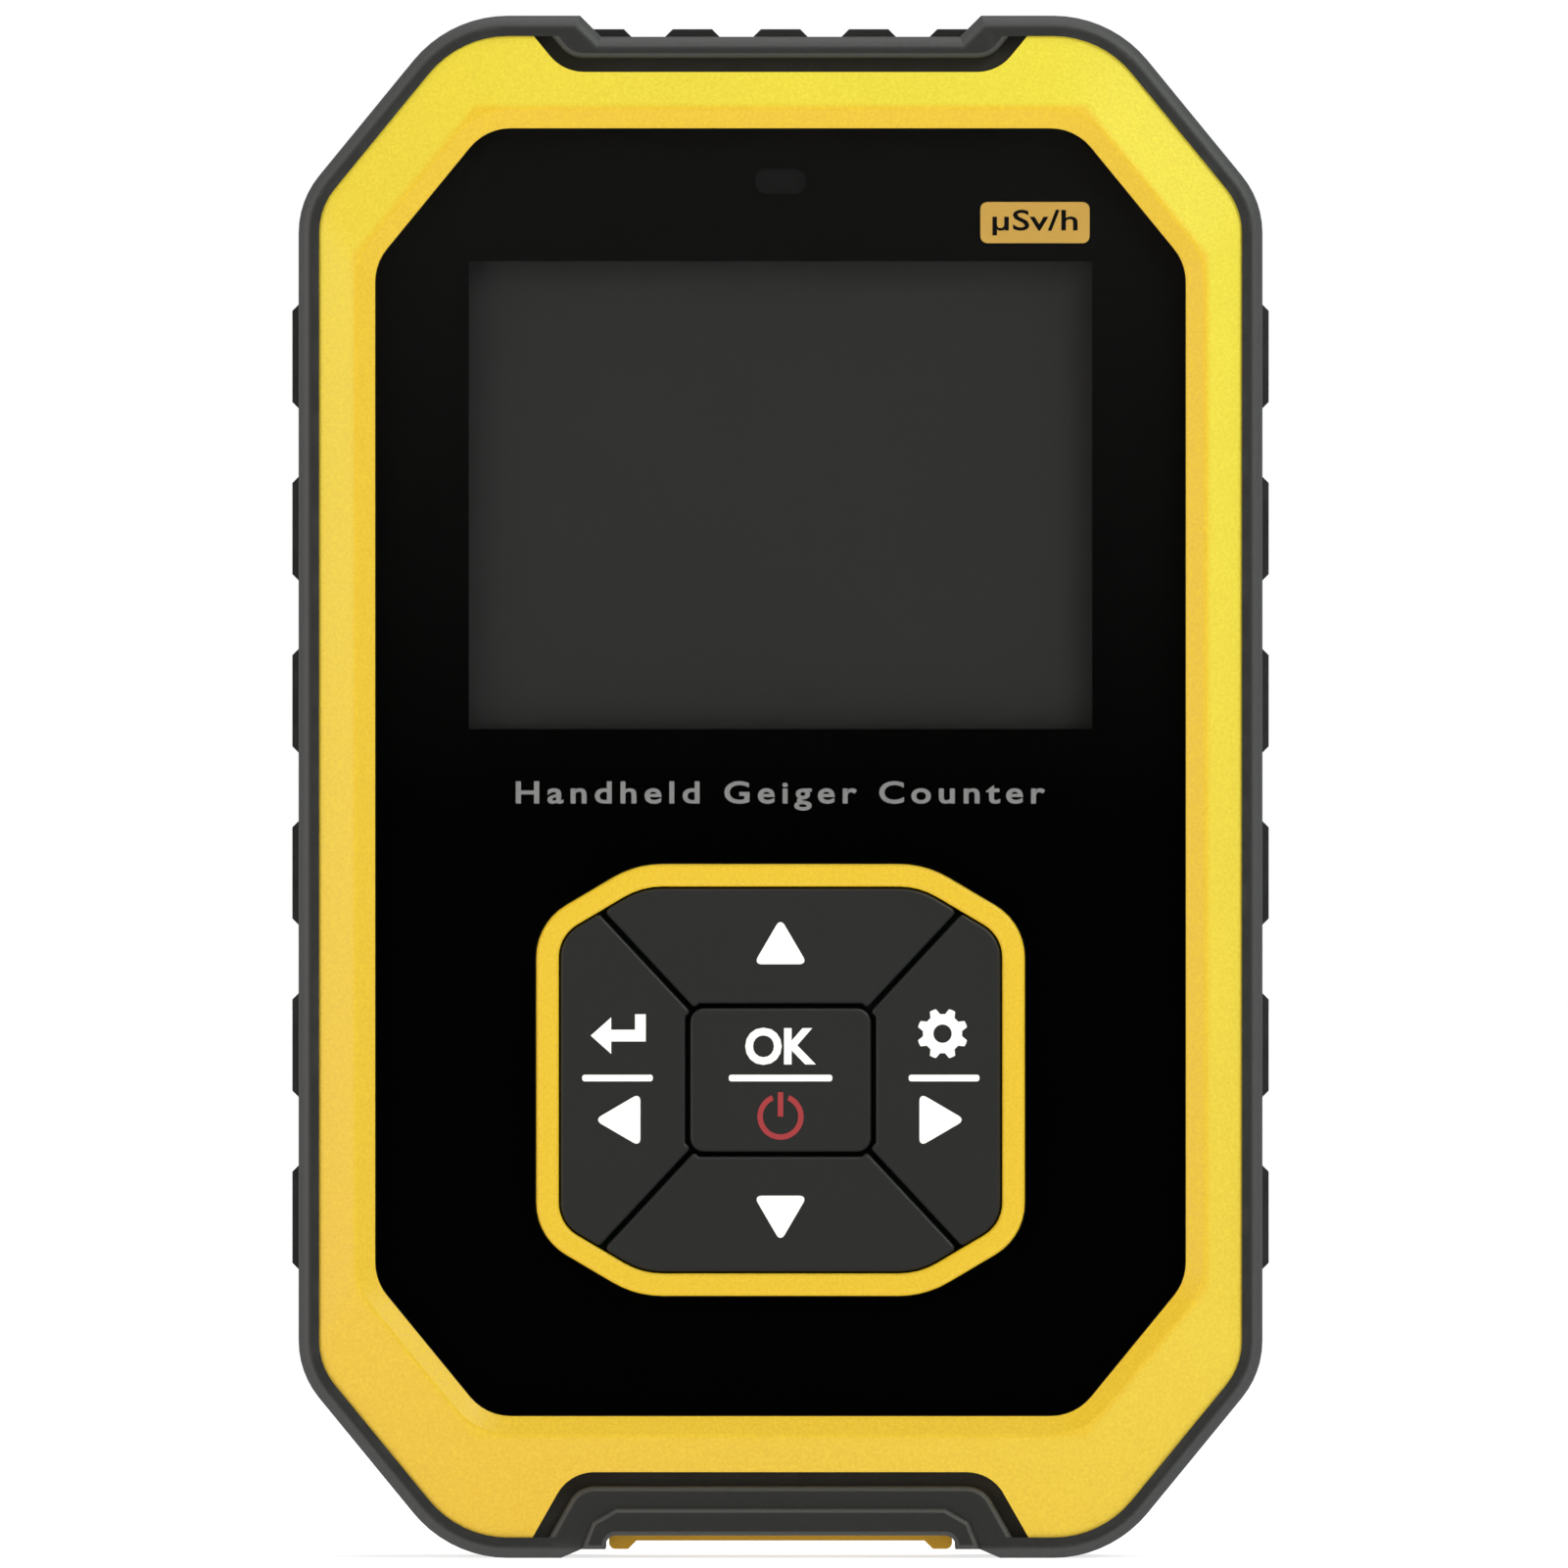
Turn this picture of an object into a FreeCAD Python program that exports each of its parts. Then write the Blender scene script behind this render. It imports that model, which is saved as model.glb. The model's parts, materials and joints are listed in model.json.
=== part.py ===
"""Handheld Geiger counter: a parametric FreeCAD document, one object for each piece, in millimetres.

The counter stands on its bottom edge. +Z is up, +X is to the right of someone reading the display and
the display faces -Y. The origin is under the middle of the case, on the surface that it stands on.
Depths are given as "behind": how far a place lies behind the crest of the front frame.
"""
import FreeCAD, Part
import math
import os
import re

import Sketcher

SIZES = {
    # case
    "case_half_width": 37.5,
    "case_height": 120.0,
    "case_depth": 27.2,
    "corner_angle": 50.7,
    "corner_cut": 9.12,
    "corner_round_end": 9.5,
    "corner_round_side": 7.0,
    "bumper_wall": 1.6,
    "bumper_round": 1.1,
    "shell_wall": 2.0,
    "end_wall": 3.4,
    "parting": 17.0,
    # front frame, window and lens
    "rim_drop": 1.3,
    "lip_drop": 1.1,
    "window_side": 5.96,
    "window_end": 9.9,
    "window_rise": 1.14,
    "window_cut": 8.42,
    "window_round": 4.1,
    "ridge_width": 1.5,
    "ridge_flat": 0.25,
    "window_drop": 0.7,
    "lens_drop": 0.8,
    "lens_thickness": 1.5,
    "lens_gap": 0.1,
    "tape_thickness": 0.15,
    "tape_width": 1.6,
    "plate_thickness": 1.65,
    "cavity_drop": 6.2,
    # notches in the front frame, which the bumper fills
    "top_notch_wide": 19.2,
    "top_notch_narrow": 16.9,
    "top_notch_depth": 2.8,
    "top_notch_round": 3.4,
    "low_notch_wide": 19.3,
    "low_notch_narrow": 16.4,
    "low_notch_depth": 5.1,
    "low_notch_round": 3.3,
    "notch_drop": 4.6,
    "notch_groove": 1.1,
    "notch_groove_depth": 1.3,
    "notch_roll": 0.5,
    "notch_wall": 1.6,
    "step_half_width": 17.0,
    "step_depth": 1.6,
    # ends of the bumpers
    "valley_ramp": 15.6,
    "valley_depth": 1.64,
    "rib_height": 0.67,
    "rib_half_width": 1.53,
    "rib_pitch": 6.87,
    "rib_count": 5,
    "rib_start": 9.0,
    "foot_inside": 17.1,
    "foot_rise": 0.69,
    "foot_ramp": 1.6,
    "arch_half_width": 13.6,
    "arch_height": 1.76,
    "arch_round": 0.8,
    "arch_rim_width": 2.1,
    "arch_rim_rise": 0.5,
    "arch_rim_round": 0.42,
    # side grips
    "grip_height": 0.5,
    "grip_half_length": 4.05,
    "grip_pitch": 13.4,
    "grip_count": 6,
    "grip_margin": 4.0,
    # display
    "display_half_width": 24.25,
    "display_half_height": 18.2,
    "display_rise": 22.7,
    "display_margin": 1.0,
    "seat_gap": 0.1,
    "lcd_left": 28.0,
    "lcd_right": 31.0,
    "lcd_half_height": 21.3,
    "lcd_glass": 0.9,
    "lcd_thickness": 2.4,
    "ribbon_thickness": 0.2,
    "ribbon_half_height": 9.0,
    "foam_half_width": 6.0,
    "foam_half_height": 3.0,
    # indicator
    "lamp_rise": 47.1,
    "lamp_half_width": 2.0,
    "lamp_half_height": 1.0,
    "lamp_round": 0.9,
    "lamp_gap": 0.1,
    "lamp_flange": 1.0,
    # keypad
    "keypad_fall": 22.8,
    "ring_half_width": 19.0,
    "ring_half_height": 16.8,
    "ring_reach": 20.2,
    "ring_angle": 30.6,
    "ring_round_end": 7.6,
    "ring_round_side": 4.7,
    "ring_wall": 1.76,
    "ring_drop": 0.1,
    "ring_edge": 0.35,
    "key_drop": 0.3,
    "key_gap": 0.12,
    "key_edge": 0.25,
    "key_round": 0.4,
    "key_tip": 0.3,
    "key_flange": 1.0,
    "key_flange_thickness": 0.7,
    "groove_angle": 47.0,
    "groove_half_width": 0.2,
    "cell_half_width": 7.4,
    "cell_half_height": 5.95,
    "cell_gap": 0.36,
    "cell_round": 1.1,
    "cell_bend": 1.8,
    "ok_flange": 1.1,
    "ok_flange_thickness": 0.6,
    "ok_clearance": 0.5,
    "side_key_x": 12.3,
    "end_key_z": 10.5,
    "stem_radius": 1.8,
    "stem_gap": 0.02,
    # circuit board
    "board_drop": 9.0,
    "board_thickness": 1.6,
    "board_side_gap": 0.7,
    "board_end_gap": 0.8,
    "board_cut": 10.0,
    "board_round": 2.0,
    "switch_half_width": 2.6,
    "switch_height": 2.0,
    "switch_floor": 0.5,
    "plunger_radius": 1.6,
    "plunger_gap": 0.15,
    "plunger_rise": 0.6,
    "plunger_reach": 0.8,
    # fasteners
    "boss_side": 10.3,
    "boss_end": 12.0,
    "boss_radius": 3.0,
    "screw_gap": 0.05,
    "screw_clearance": 0.15,
    "screw_room": 0.6,
    "case_screw_radius": 1.1,
    "case_screw_bite": 6.0,
    "case_head_radius": 1.9,
    "case_head_height": 1.3,
    "case_head_sink": 2.4,
    "recess_radius": 0.75,
    "recess_depth": 0.7,
    "post_side": 20.5,
    "post_end": 11.5,
    "post_radius": 2.2,
    "board_screw_radius": 0.9,
    "board_screw_bite": 3.0,
    "board_head_radius": 1.7,
    "board_head_height": 1.1,
    # charging socket
    "socket_half_width": 4.47,
    "socket_half_depth": 1.63,
    "socket_length": 7.35,
    "socket_wall": 0.3,
    "socket_round": 1.45,
    "socket_gap": 0.15,
    "tongue_half_width": 3.35,
    "tongue_half_depth": 0.35,
    "tongue_length": 4.45,
    "socket_floor": 1.6,
    "plug_half_width": 6.2,
    "plug_half_depth": 3.2,
    "plug_round": 2.8,
    # rear shell
    "rear_wall": 1.8,
    "rear_lip": 1.0,
    "rear_lip_width": 4.6,
    "rear_round": 1.4,
    "bay_wall": 1.6,
    "bay_head": 1.0,
    "vent_half_width": 4.0,
    "vent_half_height": 0.8,
    "vent_round": 0.7,
    "vent_pitch": 4.4,
    "vent_count": 12,
    "vent_fall": 24.0,
    "grille_radius": 0.6,
    "grille_pitch": 2.3,
    "label_x": 22.6,
    "label_rise": 2.0,
    "label_half_width": 5.6,
    "label_half_height": 17.0,
    "label_round": 1.0,
    "label_thickness": 0.15,
    # kickstand
    "stand_half_width": 13.4,
    "stand_thickness": 2.7,
    "stand_sink": 0.2,
    "stand_gap": 0.3,
    "stand_hinge_rise": 8.0,
    "stand_foot_z": 0.45,
    "stand_arch": 0.65,
    "stand_toe": 1.5,
    "stand_round": 0.5,
    "relief_half_width": 8.0,
    "relief_low_z": 8.0,
    "relief_top_gap": 10.0,
    "relief_depth": 0.8,
    "relief_round": 3.0,
    "pin_radius": 0.8,
    "pin_gap": 0.05,
    "pin_half_length": 14.8,
    # tube
    "tube_gap": 1.0,
    "tube_radius": 5.0,
    "tube_wall": 0.6,
    "tube_length": 84.0,
    "cap_wall": 0.25,
    "cap_gap": 0.03,
    "cap_length": 7.0,
    "cap_end": 0.6,
    "anode_radius": 0.35,
    "clip_gap": 0.05,
    "clip_wall": 0.5,
    "clip_half_width": 2.5,
    "clip_foot": 3.0,
    # battery
    "battery_x": 5.5,
    "battery_rise": 3.0,
    "battery_half_width": 17.0,
    "battery_half_height": 25.0,
    "battery_thickness": 5.2,
    "battery_round": 1.2,
    "battery_tape": 0.3,
    "lead_x": 14.0,
    "lead_spacing": 2.0,
    "lead_radius": 0.55,
    "lead_bend": 3.3,
}

# Parts on the circuit board: x, height above the middle of the case, half width, half height and how
# far they stand off the board.
ON_BOARD = {
    "controller": (-3.0, 2.0, 5.0, 5.0, 1.4),
    "charger": (11.0, -38.0, 2.5, 2.5, 1.0),
    "transformer": (-6.0, -18.0, 4.4, 4.4, 4.0),
    "buzzer": (23.0, -34.0, 4.75, 4.75, 4.2),
    "lead_socket": (15.0, -28.5, 3.0, 2.2, 3.4),
    "ribbon_socket": (25.0, 22.7, 2.0, 10.0, 1.4),
    "indicator": (0.0, 47.1, 0.8, 0.4, 0.6),
}
for part, places in ON_BOARD.items():
    for quality, size in zip(("x", "rise", "half_width", "half_height", "height"), places):
        SIZES[f"{part}_{quality}"] = size

doc = FreeCAD.newDocument("geiger_counter")
sheet = doc.addObject("Spreadsheet::Sheet", "Sizes")
for row, (alias, size) in enumerate(SIZES.items(), 1):
    sheet.set(f"A{row}", alias)
    sheet.set(f"B{row}", str(size))
    sheet.setAlias(f"B{row}", alias)
doc.recompute()

nodes = []
NEAR = 1e-4
LOOSE = 0.02


# ---------------------------------------------------------------- expressions


def bound(text):
    """The expression with each size's name written as its cell."""
    return re.sub(r"[a-z]\w+", lambda m: f"Sizes.{m.group()}" if m.group() in SIZES else m.group(), text)


def number(text):
    return float(sheet.evalExpression(bound(text)))


def bind(thing, **values):
    """Binds properties to expressions. A double underscore in a name stands for a dot."""
    for name, text in values.items():
        thing.setExpression(name.replace("__", "."), bound(text))


def less(*texts):
    """The first expression less the others."""
    return " - ".join(f"({text})" for text in texts)


def plus(*texts):
    return " + ".join(f"({text})" for text in texts)


def minus(text):
    return f"-({text})"


def board_z(part):
    """The height of a part on the board."""
    return f"(case_height / 2 + {part}_rise)"


def y_at(behind):
    """The row Y of a place that lies so far behind the front crest."""
    return f"({behind}) - case_depth / 2"


# Depths behind the front crest that several pieces share.
LENS_BACK = "(lens_drop + lens_thickness)"
PLATE_FRONT = f"({LENS_BACK} + tape_thickness)"
PLATE_BACK = f"({PLATE_FRONT} + plate_thickness)"
SEAT = f"({PLATE_BACK} + seat_gap)"
LCD_BACK = f"({SEAT} + lcd_thickness)"
BOARD_BACK = "(board_drop + board_thickness)"
FLANGE_BACK = f"({SEAT} + key_flange_thickness)"
OK_FLANGE = f"({FLANGE_BACK} + ok_clearance)"
SWITCH_TOP = "(board_drop - switch_height)"
PLUNGER_TOP = f"({SWITCH_TOP} - plunger_rise)"
SHELL_BACK = "(case_depth - rear_lip)"
CAVITY_BACK = f"({SHELL_BACK} - rear_wall)"
STAND_BACK = f"({SHELL_BACK} - stand_sink)"
STAND_FRONT = f"({STAND_BACK} - stand_thickness)"
PIN_DROP = f"({STAND_BACK} - stand_thickness / 2)"
BAY_FLOOR = f"({STAND_FRONT} - stand_gap)"
BAY_INSIDE = f"({BAY_FLOOR} - bay_wall)"
BATTERY_BACK = f"({BAY_INSIDE} - battery_tape)"
SOCKET_DROP = f"({BOARD_BACK} + socket_half_depth)"
HEAD_SEAT = f"({SHELL_BACK} - case_head_sink - case_head_height)"

# Heights and half widths that several pieces share.
MIDDLE = "(case_height / 2)"
WINDOW_Z = f"({MIDDLE} + window_rise)"
DISPLAY_Z = f"({MIDDLE} + display_rise)"
LAMP_Z = f"({MIDDLE} + lamp_rise)"
KEYPAD_Z = f"({MIDDLE} - keypad_fall)"
HINGE_Z = f"({MIDDLE} + stand_hinge_rise)"
BATTERY_Z = f"({MIDDLE} + battery_rise)"
TUBE_LOW = f"({MIDDLE} - tube_length / 2)"
CORNER_REACH = f"(case_half_width * sin(corner_angle) + {MIDDLE} * cos(corner_angle) - corner_cut)"
BOSS_X, BOSS_Z = "(case_half_width - boss_side)", f"({MIDDLE} - boss_end)"
POST_X, POST_Z = "(case_half_width - post_side)", f"({MIDDLE} - post_end)"
SHELL_LOW = "(bumper_wall + step_depth)"
CAVITY_INSET = "(bumper_wall + end_wall)"
BAY_HALF = "(stand_half_width + stand_gap)"
BAY_TOP = f"({HINGE_Z} + stand_thickness / 2 + bay_head)"
TUBE_X = f"({BAY_HALF} + bay_wall + tube_radius + tube_gap)"
TUBE_DROP = f"({BOARD_BACK} + tube_radius + tube_gap)"


# ---------------------------------------------------------------- sketches


def plane_of(body, role):
    return next(f for f in body.Origin.OriginFeatures if f.Role == role)


def sketch_on(body, name, role, offset):
    sketch = body.newObject("Sketcher::SketchObject", name)
    sketch.AttachmentSupport = (plane_of(body, role), [""])
    sketch.MapMode = "FlatFace"
    bind(sketch, AttachmentOffset__Base__z=offset)
    return sketch


def face_sketch(body, name, behind):
    """A sketch that faces the reader: its x is +X, its y is +Z and its normal is -Y."""
    return sketch_on(body, name, "XZ_Plane", f"case_depth / 2 - ({behind})")


def constrain(sketch, constraint, text=None):
    index = sketch.addConstraint(constraint)
    if text is not None:
        sketch.setExpression(f"Constraints[{index}]", bound(text))
    return index


def fixed_point(sketch, x, y):
    """A construction point held at two expressions. Returns its index."""
    place = FreeCAD.Vector(number(x), number(y), 0)
    point = sketch.addGeometry(Part.Point(place), True)
    constrain(sketch, Sketcher.Constraint("DistanceX", -1, 1, point, 1, place.x), x)
    constrain(sketch, Sketcher.Constraint("DistanceY", -1, 1, point, 1, place.y), y)
    return point


def outline(sketch, corners):
    """A closed outline through corners (x, y, radius or None), each an expression."""
    count = len(corners)
    places = [FreeCAD.Vector(number(x), number(y), 0) for x, y, _ in corners]
    points = [fixed_point(sketch, x, y) for x, y, _ in corners]
    starts, ends, arcs = [None] * count, [None] * count, [None] * count
    for i, (_, _, radius) in enumerate(corners):
        here = places[i]
        back = (places[i - 1] - here).normalize()
        ahead = (places[(i + 1) % count] - here).normalize()
        if radius is None:
            ends[i - 1] = starts[i] = here
            continue
        size = number(radius)
        half = back.getAngle(ahead) / 2
        reach = size / math.tan(half)
        ends[i - 1], starts[i] = here + back * reach, here + ahead * reach
        centre = here + (back + ahead).normalize() * (size / math.sin(half))
        turns_left = back.cross(ahead).z < 0
        first, last = (ends[i - 1], starts[i]) if turns_left else (starts[i], ends[i - 1])
        circle = Part.Circle(centre, FreeCAD.Vector(0, 0, 1), size)
        a0 = math.atan2(first.y - centre.y, first.x - centre.x)
        a1 = math.atan2(last.y - centre.y, last.x - centre.x)
        arcs[i] = (sketch.addGeometry(Part.ArcOfCircle(circle, a0, a1)), turns_left)
    lines = [sketch.addGeometry(Part.LineSegment(starts[i], ends[i])) for i in range(count)]
    for i, (_, _, radius) in enumerate(corners):
        before, after = lines[i - 1], lines[i]
        if arcs[i] is None:
            constrain(sketch, Sketcher.Constraint("Coincident", before, 2, points[i], 1))
            constrain(sketch, Sketcher.Constraint("Coincident", after, 1, points[i], 1))
            continue
        arc, turns_left = arcs[i]
        enter, leave = (1, 2) if turns_left else (2, 1)
        constrain(sketch, Sketcher.Constraint("PointOnObject", points[i], 1, before))
        constrain(sketch, Sketcher.Constraint("PointOnObject", points[i], 1, after))
        constrain(sketch, Sketcher.Constraint("Tangent", before, 2, arc, enter))
        constrain(sketch, Sketcher.Constraint("Tangent", arc, leave, after, 1))
        constrain(sketch, Sketcher.Constraint("Radius", arc, number(radius)), radius)
    return sketch


def circle(sketch, x, y, radius):
    centre = FreeCAD.Vector(number(x), number(y), 0)
    ring = sketch.addGeometry(Part.Circle(centre, FreeCAD.Vector(0, 0, 1), number(radius)))
    constrain(sketch, Sketcher.Constraint("DistanceX", -1, 1, ring, 3, centre.x), x)
    constrain(sketch, Sketcher.Constraint("DistanceY", -1, 1, ring, 3, centre.y), y)
    constrain(sketch, Sketcher.Constraint("Radius", ring, number(radius)), radius)
    return sketch


def mirrored_corners(right_side):
    """Corners listed down the right side, from the top, with their mirror images up the left side."""
    left = [(minus(x), y, radius) for x, y, radius in reversed(right_side)]
    return left + right_side


def block(x0, x1, y0, y1, radius=None):
    return [(x0, y0, radius), (x1, y0, radius), (x1, y1, radius), (x0, y1, radius)]


def centred_block(half_x, half_y, y="0", radius=None, x="0"):
    return block(less(x, half_x), plus(x, half_x), less(y, half_y), plus(y, half_y), radius)


def octagon_side(half_x, half_y, reach, angle, y, round_end, round_side):
    """The right side of an upright rectangle with cut corners, from the top.

    Reach is how far each cut lies from the middle.
    """
    end_x = f"(({reach}) - ({half_y}) * cos({angle})) / sin({angle})"
    side_y = f"(({reach}) - ({half_x}) * sin({angle})) / cos({angle})"
    return [
        (end_x, plus(y, half_y), round_end),
        (half_x, plus(y, side_y), round_side),
        (half_x, less(y, side_y), round_side),
        (end_x, less(y, half_y), round_end),
    ]


def case_outline(inset, end_inset=None, above=(), below=()):
    """The case's outline, moved in. Corners above and below go in between its ends."""
    side = octagon_side(
        less("case_half_width", inset),
        less("case_height / 2", end_inset or inset),
        less(CORNER_REACH, inset),
        "corner_angle",
        MIDDLE,
        less("corner_round_end", inset),
        less("corner_round_side", inset),
    )
    return mirrored_corners([*above, *side, *below])


def window_outline(grow):
    side = octagon_side(
        plus("case_half_width - window_side", grow),
        plus(f"{MIDDLE} - window_end", grow),
        plus(f"{CORNER_REACH} - window_cut", grow),
        "corner_angle",
        WINDOW_Z,
        plus("window_round", grow),
        plus("window_round", grow),
    )
    return mirrored_corners(side)


def keypad_outline(grow):
    """The keypad ring's outer outline, grown or shrunk."""
    side = octagon_side(
        plus("ring_half_width", grow),
        plus("ring_half_height", grow),
        plus("ring_reach", grow),
        "ring_angle",
        KEYPAD_Z,
        plus("ring_round_end", grow),
        plus("ring_round_side", grow),
    )
    return mirrored_corners(side)


def notch_corners(end, shrink="0"):
    """The right side of a notch in the front frame, from its mouth to its floor, moved in."""
    wide, narrow, depth, radius = (f"{end}_notch_{part}" for part in ("wide", "narrow", "depth", "round"))
    slope = f"(({wide} - {narrow}) / {depth})"
    side_shift = f"({shrink}) * sqrt(1 + {slope} ^ 2)"
    floor_x = f"{narrow} + ({shrink}) * {slope} - {side_shift}"
    mouth = (f"{wide} - {side_shift}", height_at(end, "bumper_wall"), None)
    floor_inset = less(plus("bumper_wall", depth), shrink)
    return [mouth, (floor_x, height_at(end, floor_inset), less(radius, shrink))]


def height_at(end, inset):
    """The height of a place so far inside the top or the low end."""
    return less("case_height", inset) if end == "top" else inset


def step_corners(end):
    """The right side of the shells' step at one end, from its mouth to its floor."""
    mouth = ("step_half_width", height_at(end, "bumper_wall"), None)
    return [mouth, ("step_half_width", height_at(end, SHELL_LOW), None)]


def notched_outline():
    above, below = notch_corners("top"), notch_corners("low")
    return case_outline("bumper_wall", above=above[::-1], below=below)


def stepped_outline():
    above, below = step_corners("top"), step_corners("low")
    return case_outline("bumper_wall", above=above[::-1], below=below)


# ---------------------------------------------------------------- features


def body_named(label):
    body = doc.addObject("PartDesign::Body", label)
    body.Label = label
    nodes.append(body)
    return body


def pad(body, sketch, length, away=False):
    """Adds material in front of the sketch's plane, or behind it where away is set."""
    feature = body.newObject("PartDesign::Pad", "Pad")
    feature.Profile = sketch
    feature.Reversed = away
    bind(feature, Length=length)
    sketch.Visibility = False
    return feature


def pocket(body, sketch, length, ahead=False):
    """Cuts behind the sketch's plane, or in front of it where ahead is set."""
    feature = body.newObject("PartDesign::Pocket", "Pocket")
    feature.Profile = sketch
    feature.Reversed = ahead
    bind(feature, Length=length)
    sketch.Visibility = False
    return feature


def loft(body, kind, first, second):
    feature = body.newObject(f"PartDesign::{kind}", "Loft")
    feature.Profile = first
    feature.Sections = [second]
    feature.Ruled = True
    return feature


def face_pad(body, corners, behind, length, away=True, name="Outline"):
    return pad(body, outline(face_sketch(body, name, behind), corners), length, away)


def face_pocket(body, corners, behind, length, ahead=False, name="Opening"):
    return pocket(body, outline(face_sketch(body, name, behind), corners), length, ahead)


def level_cut(body, corners, z, length, name="Opening"):
    """Cuts upwards from a level. The corners are (x, row Y)."""
    sketch = outline(sketch_on(body, name, "XY_Plane", z), corners)
    return pocket(body, sketch, length, ahead=True)


def round_features(body, places, radius, behind, length, kind, name):
    """Pads or cuts one circle at each (x, z)."""
    sketch = face_sketch(body, name, behind)
    for x, z in places:
        circle(sketch, x, z, radius)
    return kind(body, sketch, length, kind is pad)


def row_of(body, feature, role, pitch, count):
    """Repeats a feature along one of the body's axes."""
    doc.recompute()
    pattern = body.newObject("PartDesign::LinearPattern", "Row")
    pattern.Originals = [feature]
    pattern.Direction = (plane_of(body, role), [""])
    bind(pattern, Length=f"({pitch}) * ({count} - 1)", Occurrences=count)
    body.Tip = pattern
    return pattern


def edges_where(feature, test):
    return [f"Edge{i}" for i, edge in enumerate(feature.Shape.Edges, 1) if test(edge)]


def at_depth(behind):
    """A test for edges that lie so far behind the front crest."""
    y = number(y_at(behind))
    return lambda edge: all(abs(v.Y - y) < NEAR for v in edge.Vertexes)


def wall_fronts(body, front, back):
    """A test for the front edges of the tip's walls that reach from one depth to another."""
    doc.recompute()
    ends = number(y_at(front)), number(y_at(back))
    walls = []
    for face in body.Tip.Shape.Faces:
        box = face.BoundBox
        if abs(box.YMin - ends[0]) < LOOSE and abs(box.YMax - ends[1]) < LOOSE:
            walls.append(face)
    at_front = at_depth(front)
    return lambda edge: at_front(edge) and any(edge.isSame(side) for wall in walls for side in wall.Edges)


def dress(body, kind, test, size_name, size):
    """Rounds or bevels those edges of the body's tip that pass the test."""
    doc.recompute()
    base = body.Tip
    feature = body.newObject(f"PartDesign::{kind}", kind)
    feature.Base = (base, edges_where(base, test))
    bind(feature, **{size_name: size})
    return feature


def fillet(body, test, radius):
    return dress(body, "Fillet", test, "Radius", radius)


# ---------------------------------------------------------------- primitives


def brick(name, x0, x1, behind0, behind1, z0, z1):
    solid = doc.addObject("Part::Box", name)
    bind(
        solid,
        Length=less(x1, x0),
        Width=less(behind1, behind0),
        Height=less(z1, z0),
        Placement__Base__x=x0,
        Placement__Base__y=y_at(behind0),
        Placement__Base__z=z0,
    )
    return solid


AXES = {"x": FreeCAD.Vector(1, 0, 0), "back": FreeCAD.Vector(0, 1, 0), "z": FreeCAD.Vector(0, 0, 1)}


def rod(name, axis, x, behind, z, radius, length):
    """A cylinder that starts at a place and runs along +X, to the back or up."""
    solid = doc.addObject("Part::Cylinder", name)
    turn = FreeCAD.Rotation(FreeCAD.Vector(0, 0, 1), AXES[axis])
    solid.Placement = FreeCAD.Placement(FreeCAD.Vector(0, 0, 0), turn)
    bind(
        solid,
        Radius=radius,
        Height=length,
        Placement__Base__x=x,
        Placement__Base__y=y_at(behind),
        Placement__Base__z=z,
    )
    return solid


def cut(name, base, tool):
    result = doc.addObject("Part::Cut", name)
    result.Base, result.Tool = base, tool
    return result


def fuse(name, *shapes):
    result = doc.addObject("Part::MultiFuse", name)
    result.Shapes = list(shapes)
    return result


def node(label, *shapes):
    """Makes the shapes one node. Several are kept as separate solids."""
    result = shapes[0]
    if len(shapes) > 1:
        result = doc.addObject("Part::Compound", label)
        result.Links = list(shapes)
    result.Label = label
    nodes.append(result)
    return result


# ---------------------------------------------------------------- shells and bumpers


def four_places(x, z):
    """Four places about the middle of the case, as (x, z)."""
    return [(f"({side}) * {x}", plus(MIDDLE, f"({end}) * {z}")) for side in (-1, 1) for end in (-1, 1)]


def socket_block(half_x, half_depth, radius):
    """A rounded rectangle about the charging socket's axis, seen from below."""
    y = y_at(SOCKET_DROP)
    return centred_block(half_x, half_depth, y, radius)


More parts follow.
